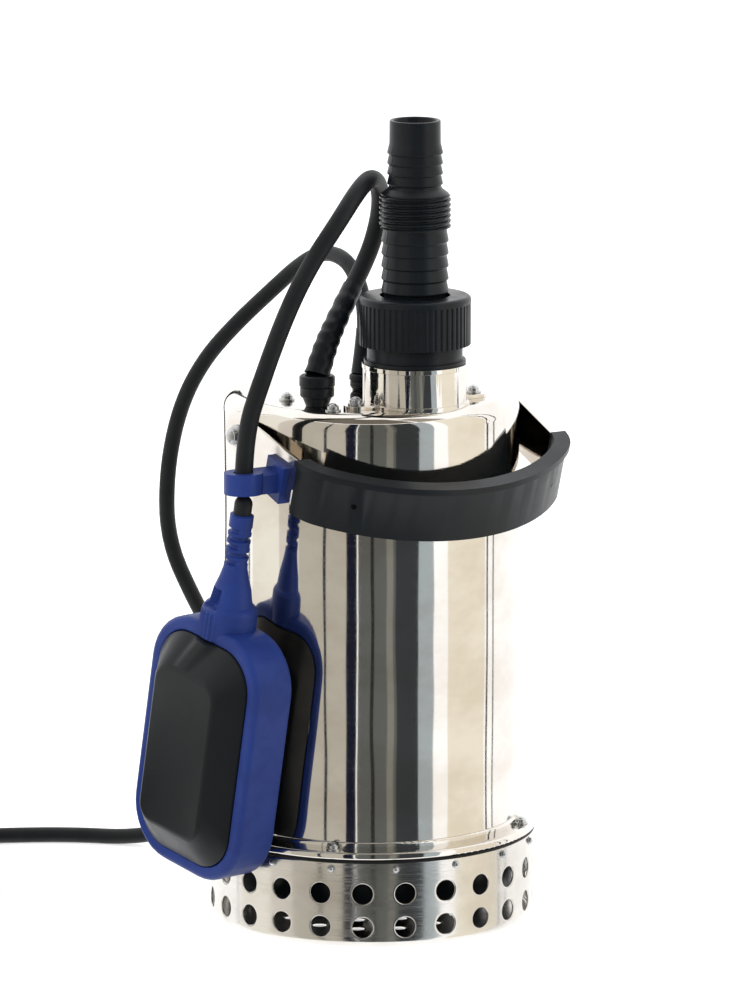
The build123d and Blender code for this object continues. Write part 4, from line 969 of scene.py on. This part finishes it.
# %% Cards: name, start and end in degrees off the camera's side, and tone
card_distance, card_low, card_high = 1.3, -1.2, 1.6
camera_side = -121.0
upright = ((card_distance, card_low), (card_distance, card_high))
nearer = ((card_distance - 0.01, card_low), (card_distance - 0.01, card_high))
wide_ceiling = ((1.22, 1.63), (0.22, 2.0))
small_ceiling = ((1.22, 1.63), (0.50, 1.95))
cards = [
    ("dark_card", 19, 36, (0.048, 0.053, 0.058), upright),
    ("grey_card", -10, 19, (0.135, 0.142, 0.135), upright),
    ("pale_card", 12, 17, (0.26, 0.26, 0.23), nearer),
    ("grey_stripe", 0, 2.5, (0.03, 0.03, 0.03), nearer),
    ("narrow_dark_card", -19, -11, (0.012, 0.014, 0.030), upright),
    ("warm_card", -56, -19, (0.56, 0.53, 0.46), upright),
    ("line_card", -36, -34, (0.03, 0.035, 0.05), nearer),
    ("pink_card", -74, -56, (0.78, 0.73, 0.66), upright),
    ("ivory_card", -103, -74, (1.02, 0.99, 0.90), upright),
    ("left_line", -107.5, -106, (0.25, 0.25, 0.25), upright),
    ("cool_card", 36, 48, (0.46, 0.52, 0.55), upright),
    ("cream_card", 60, 97, (1.05, 0.98, 0.83), upright),
    ("edge_card", 99, 101, (0.05, 0.05, 0.05), upright),
    ("second_line", 107, 108.5, (0.10, 0.10, 0.10), upright),
    ("ceiling_card", -85, 42, (0.20, 0.18, 0.15), wide_ceiling),
    ("small_ceiling_card", 46, 80, (0.42, 0.38, 0.32), small_ceiling),
]


def stand_card(name, start, end, tone, outline):
    """Curved card round the pump, from one angle off the camera's side to another. The outline
    gives its two edges as distance and height, in metres."""
    angle = np.radians(camera_side + np.linspace(start, end, 9))[None, :]
    distance, height = np.array(outline).T[:, :, None]
    points = np.stack([distance * np.cos(angle), distance * np.sin(angle), height + 0 * angle],
                      axis=-1)
    mesh = bpy.data.meshes.new(name)
    mesh.from_pydata(points.reshape(-1, 3).tolist(), [], grid_faces(2, 9, False, False).tolist())
    material, tree, shader = new_material(name)
    shader.inputs["Base Color"].default_value = (0, 0, 0, 1)
    shader.inputs["Specular IOR Level"].default_value = 0.0
    shader.inputs["Emission Color"].default_value = (*tone, 1)
    shader.inputs["Emission Strength"].default_value = 1.0
    mesh.materials.append(material)
    card = bpy.data.objects.new(name, mesh)
    card.visible_camera = False
    card.visible_diffuse = False
    card.visible_shadow = False
    card.visible_transmission = False
    scene.collection.objects.link(card)


for card in cards:
    stand_card(*card)
print(len(cards), "cards stand round the pump")


# %% Lamps
lamp_aim = Vector((0, 0, 0.2))


def soft_lamp(name, place, power, width):
    """Square area lamp that faces the pump's middle."""
    lamp = bpy.data.lights.new(name, "AREA")
    lamp.energy = power
    lamp.size = width
    holder = bpy.data.objects.new(name, lamp)
    holder.location = place
    holder.rotation_euler = (lamp_aim - Vector(place)).to_track_quat("-Z", "Y").to_euler()
    holder.visible_glossy = False
    scene.collection.objects.link(holder)


soft_lamp("left_lamp", (-2.2, -0.6, 1.7), 30, 1.2)
soft_lamp("right_lamp", (1.6, -1.8, 1.5), 16, 1.2)
soft_lamp("back_lamp", (0.6, 2.2, 1.9), 22, 1.4)
scene.view_settings.view_transform = "Standard"
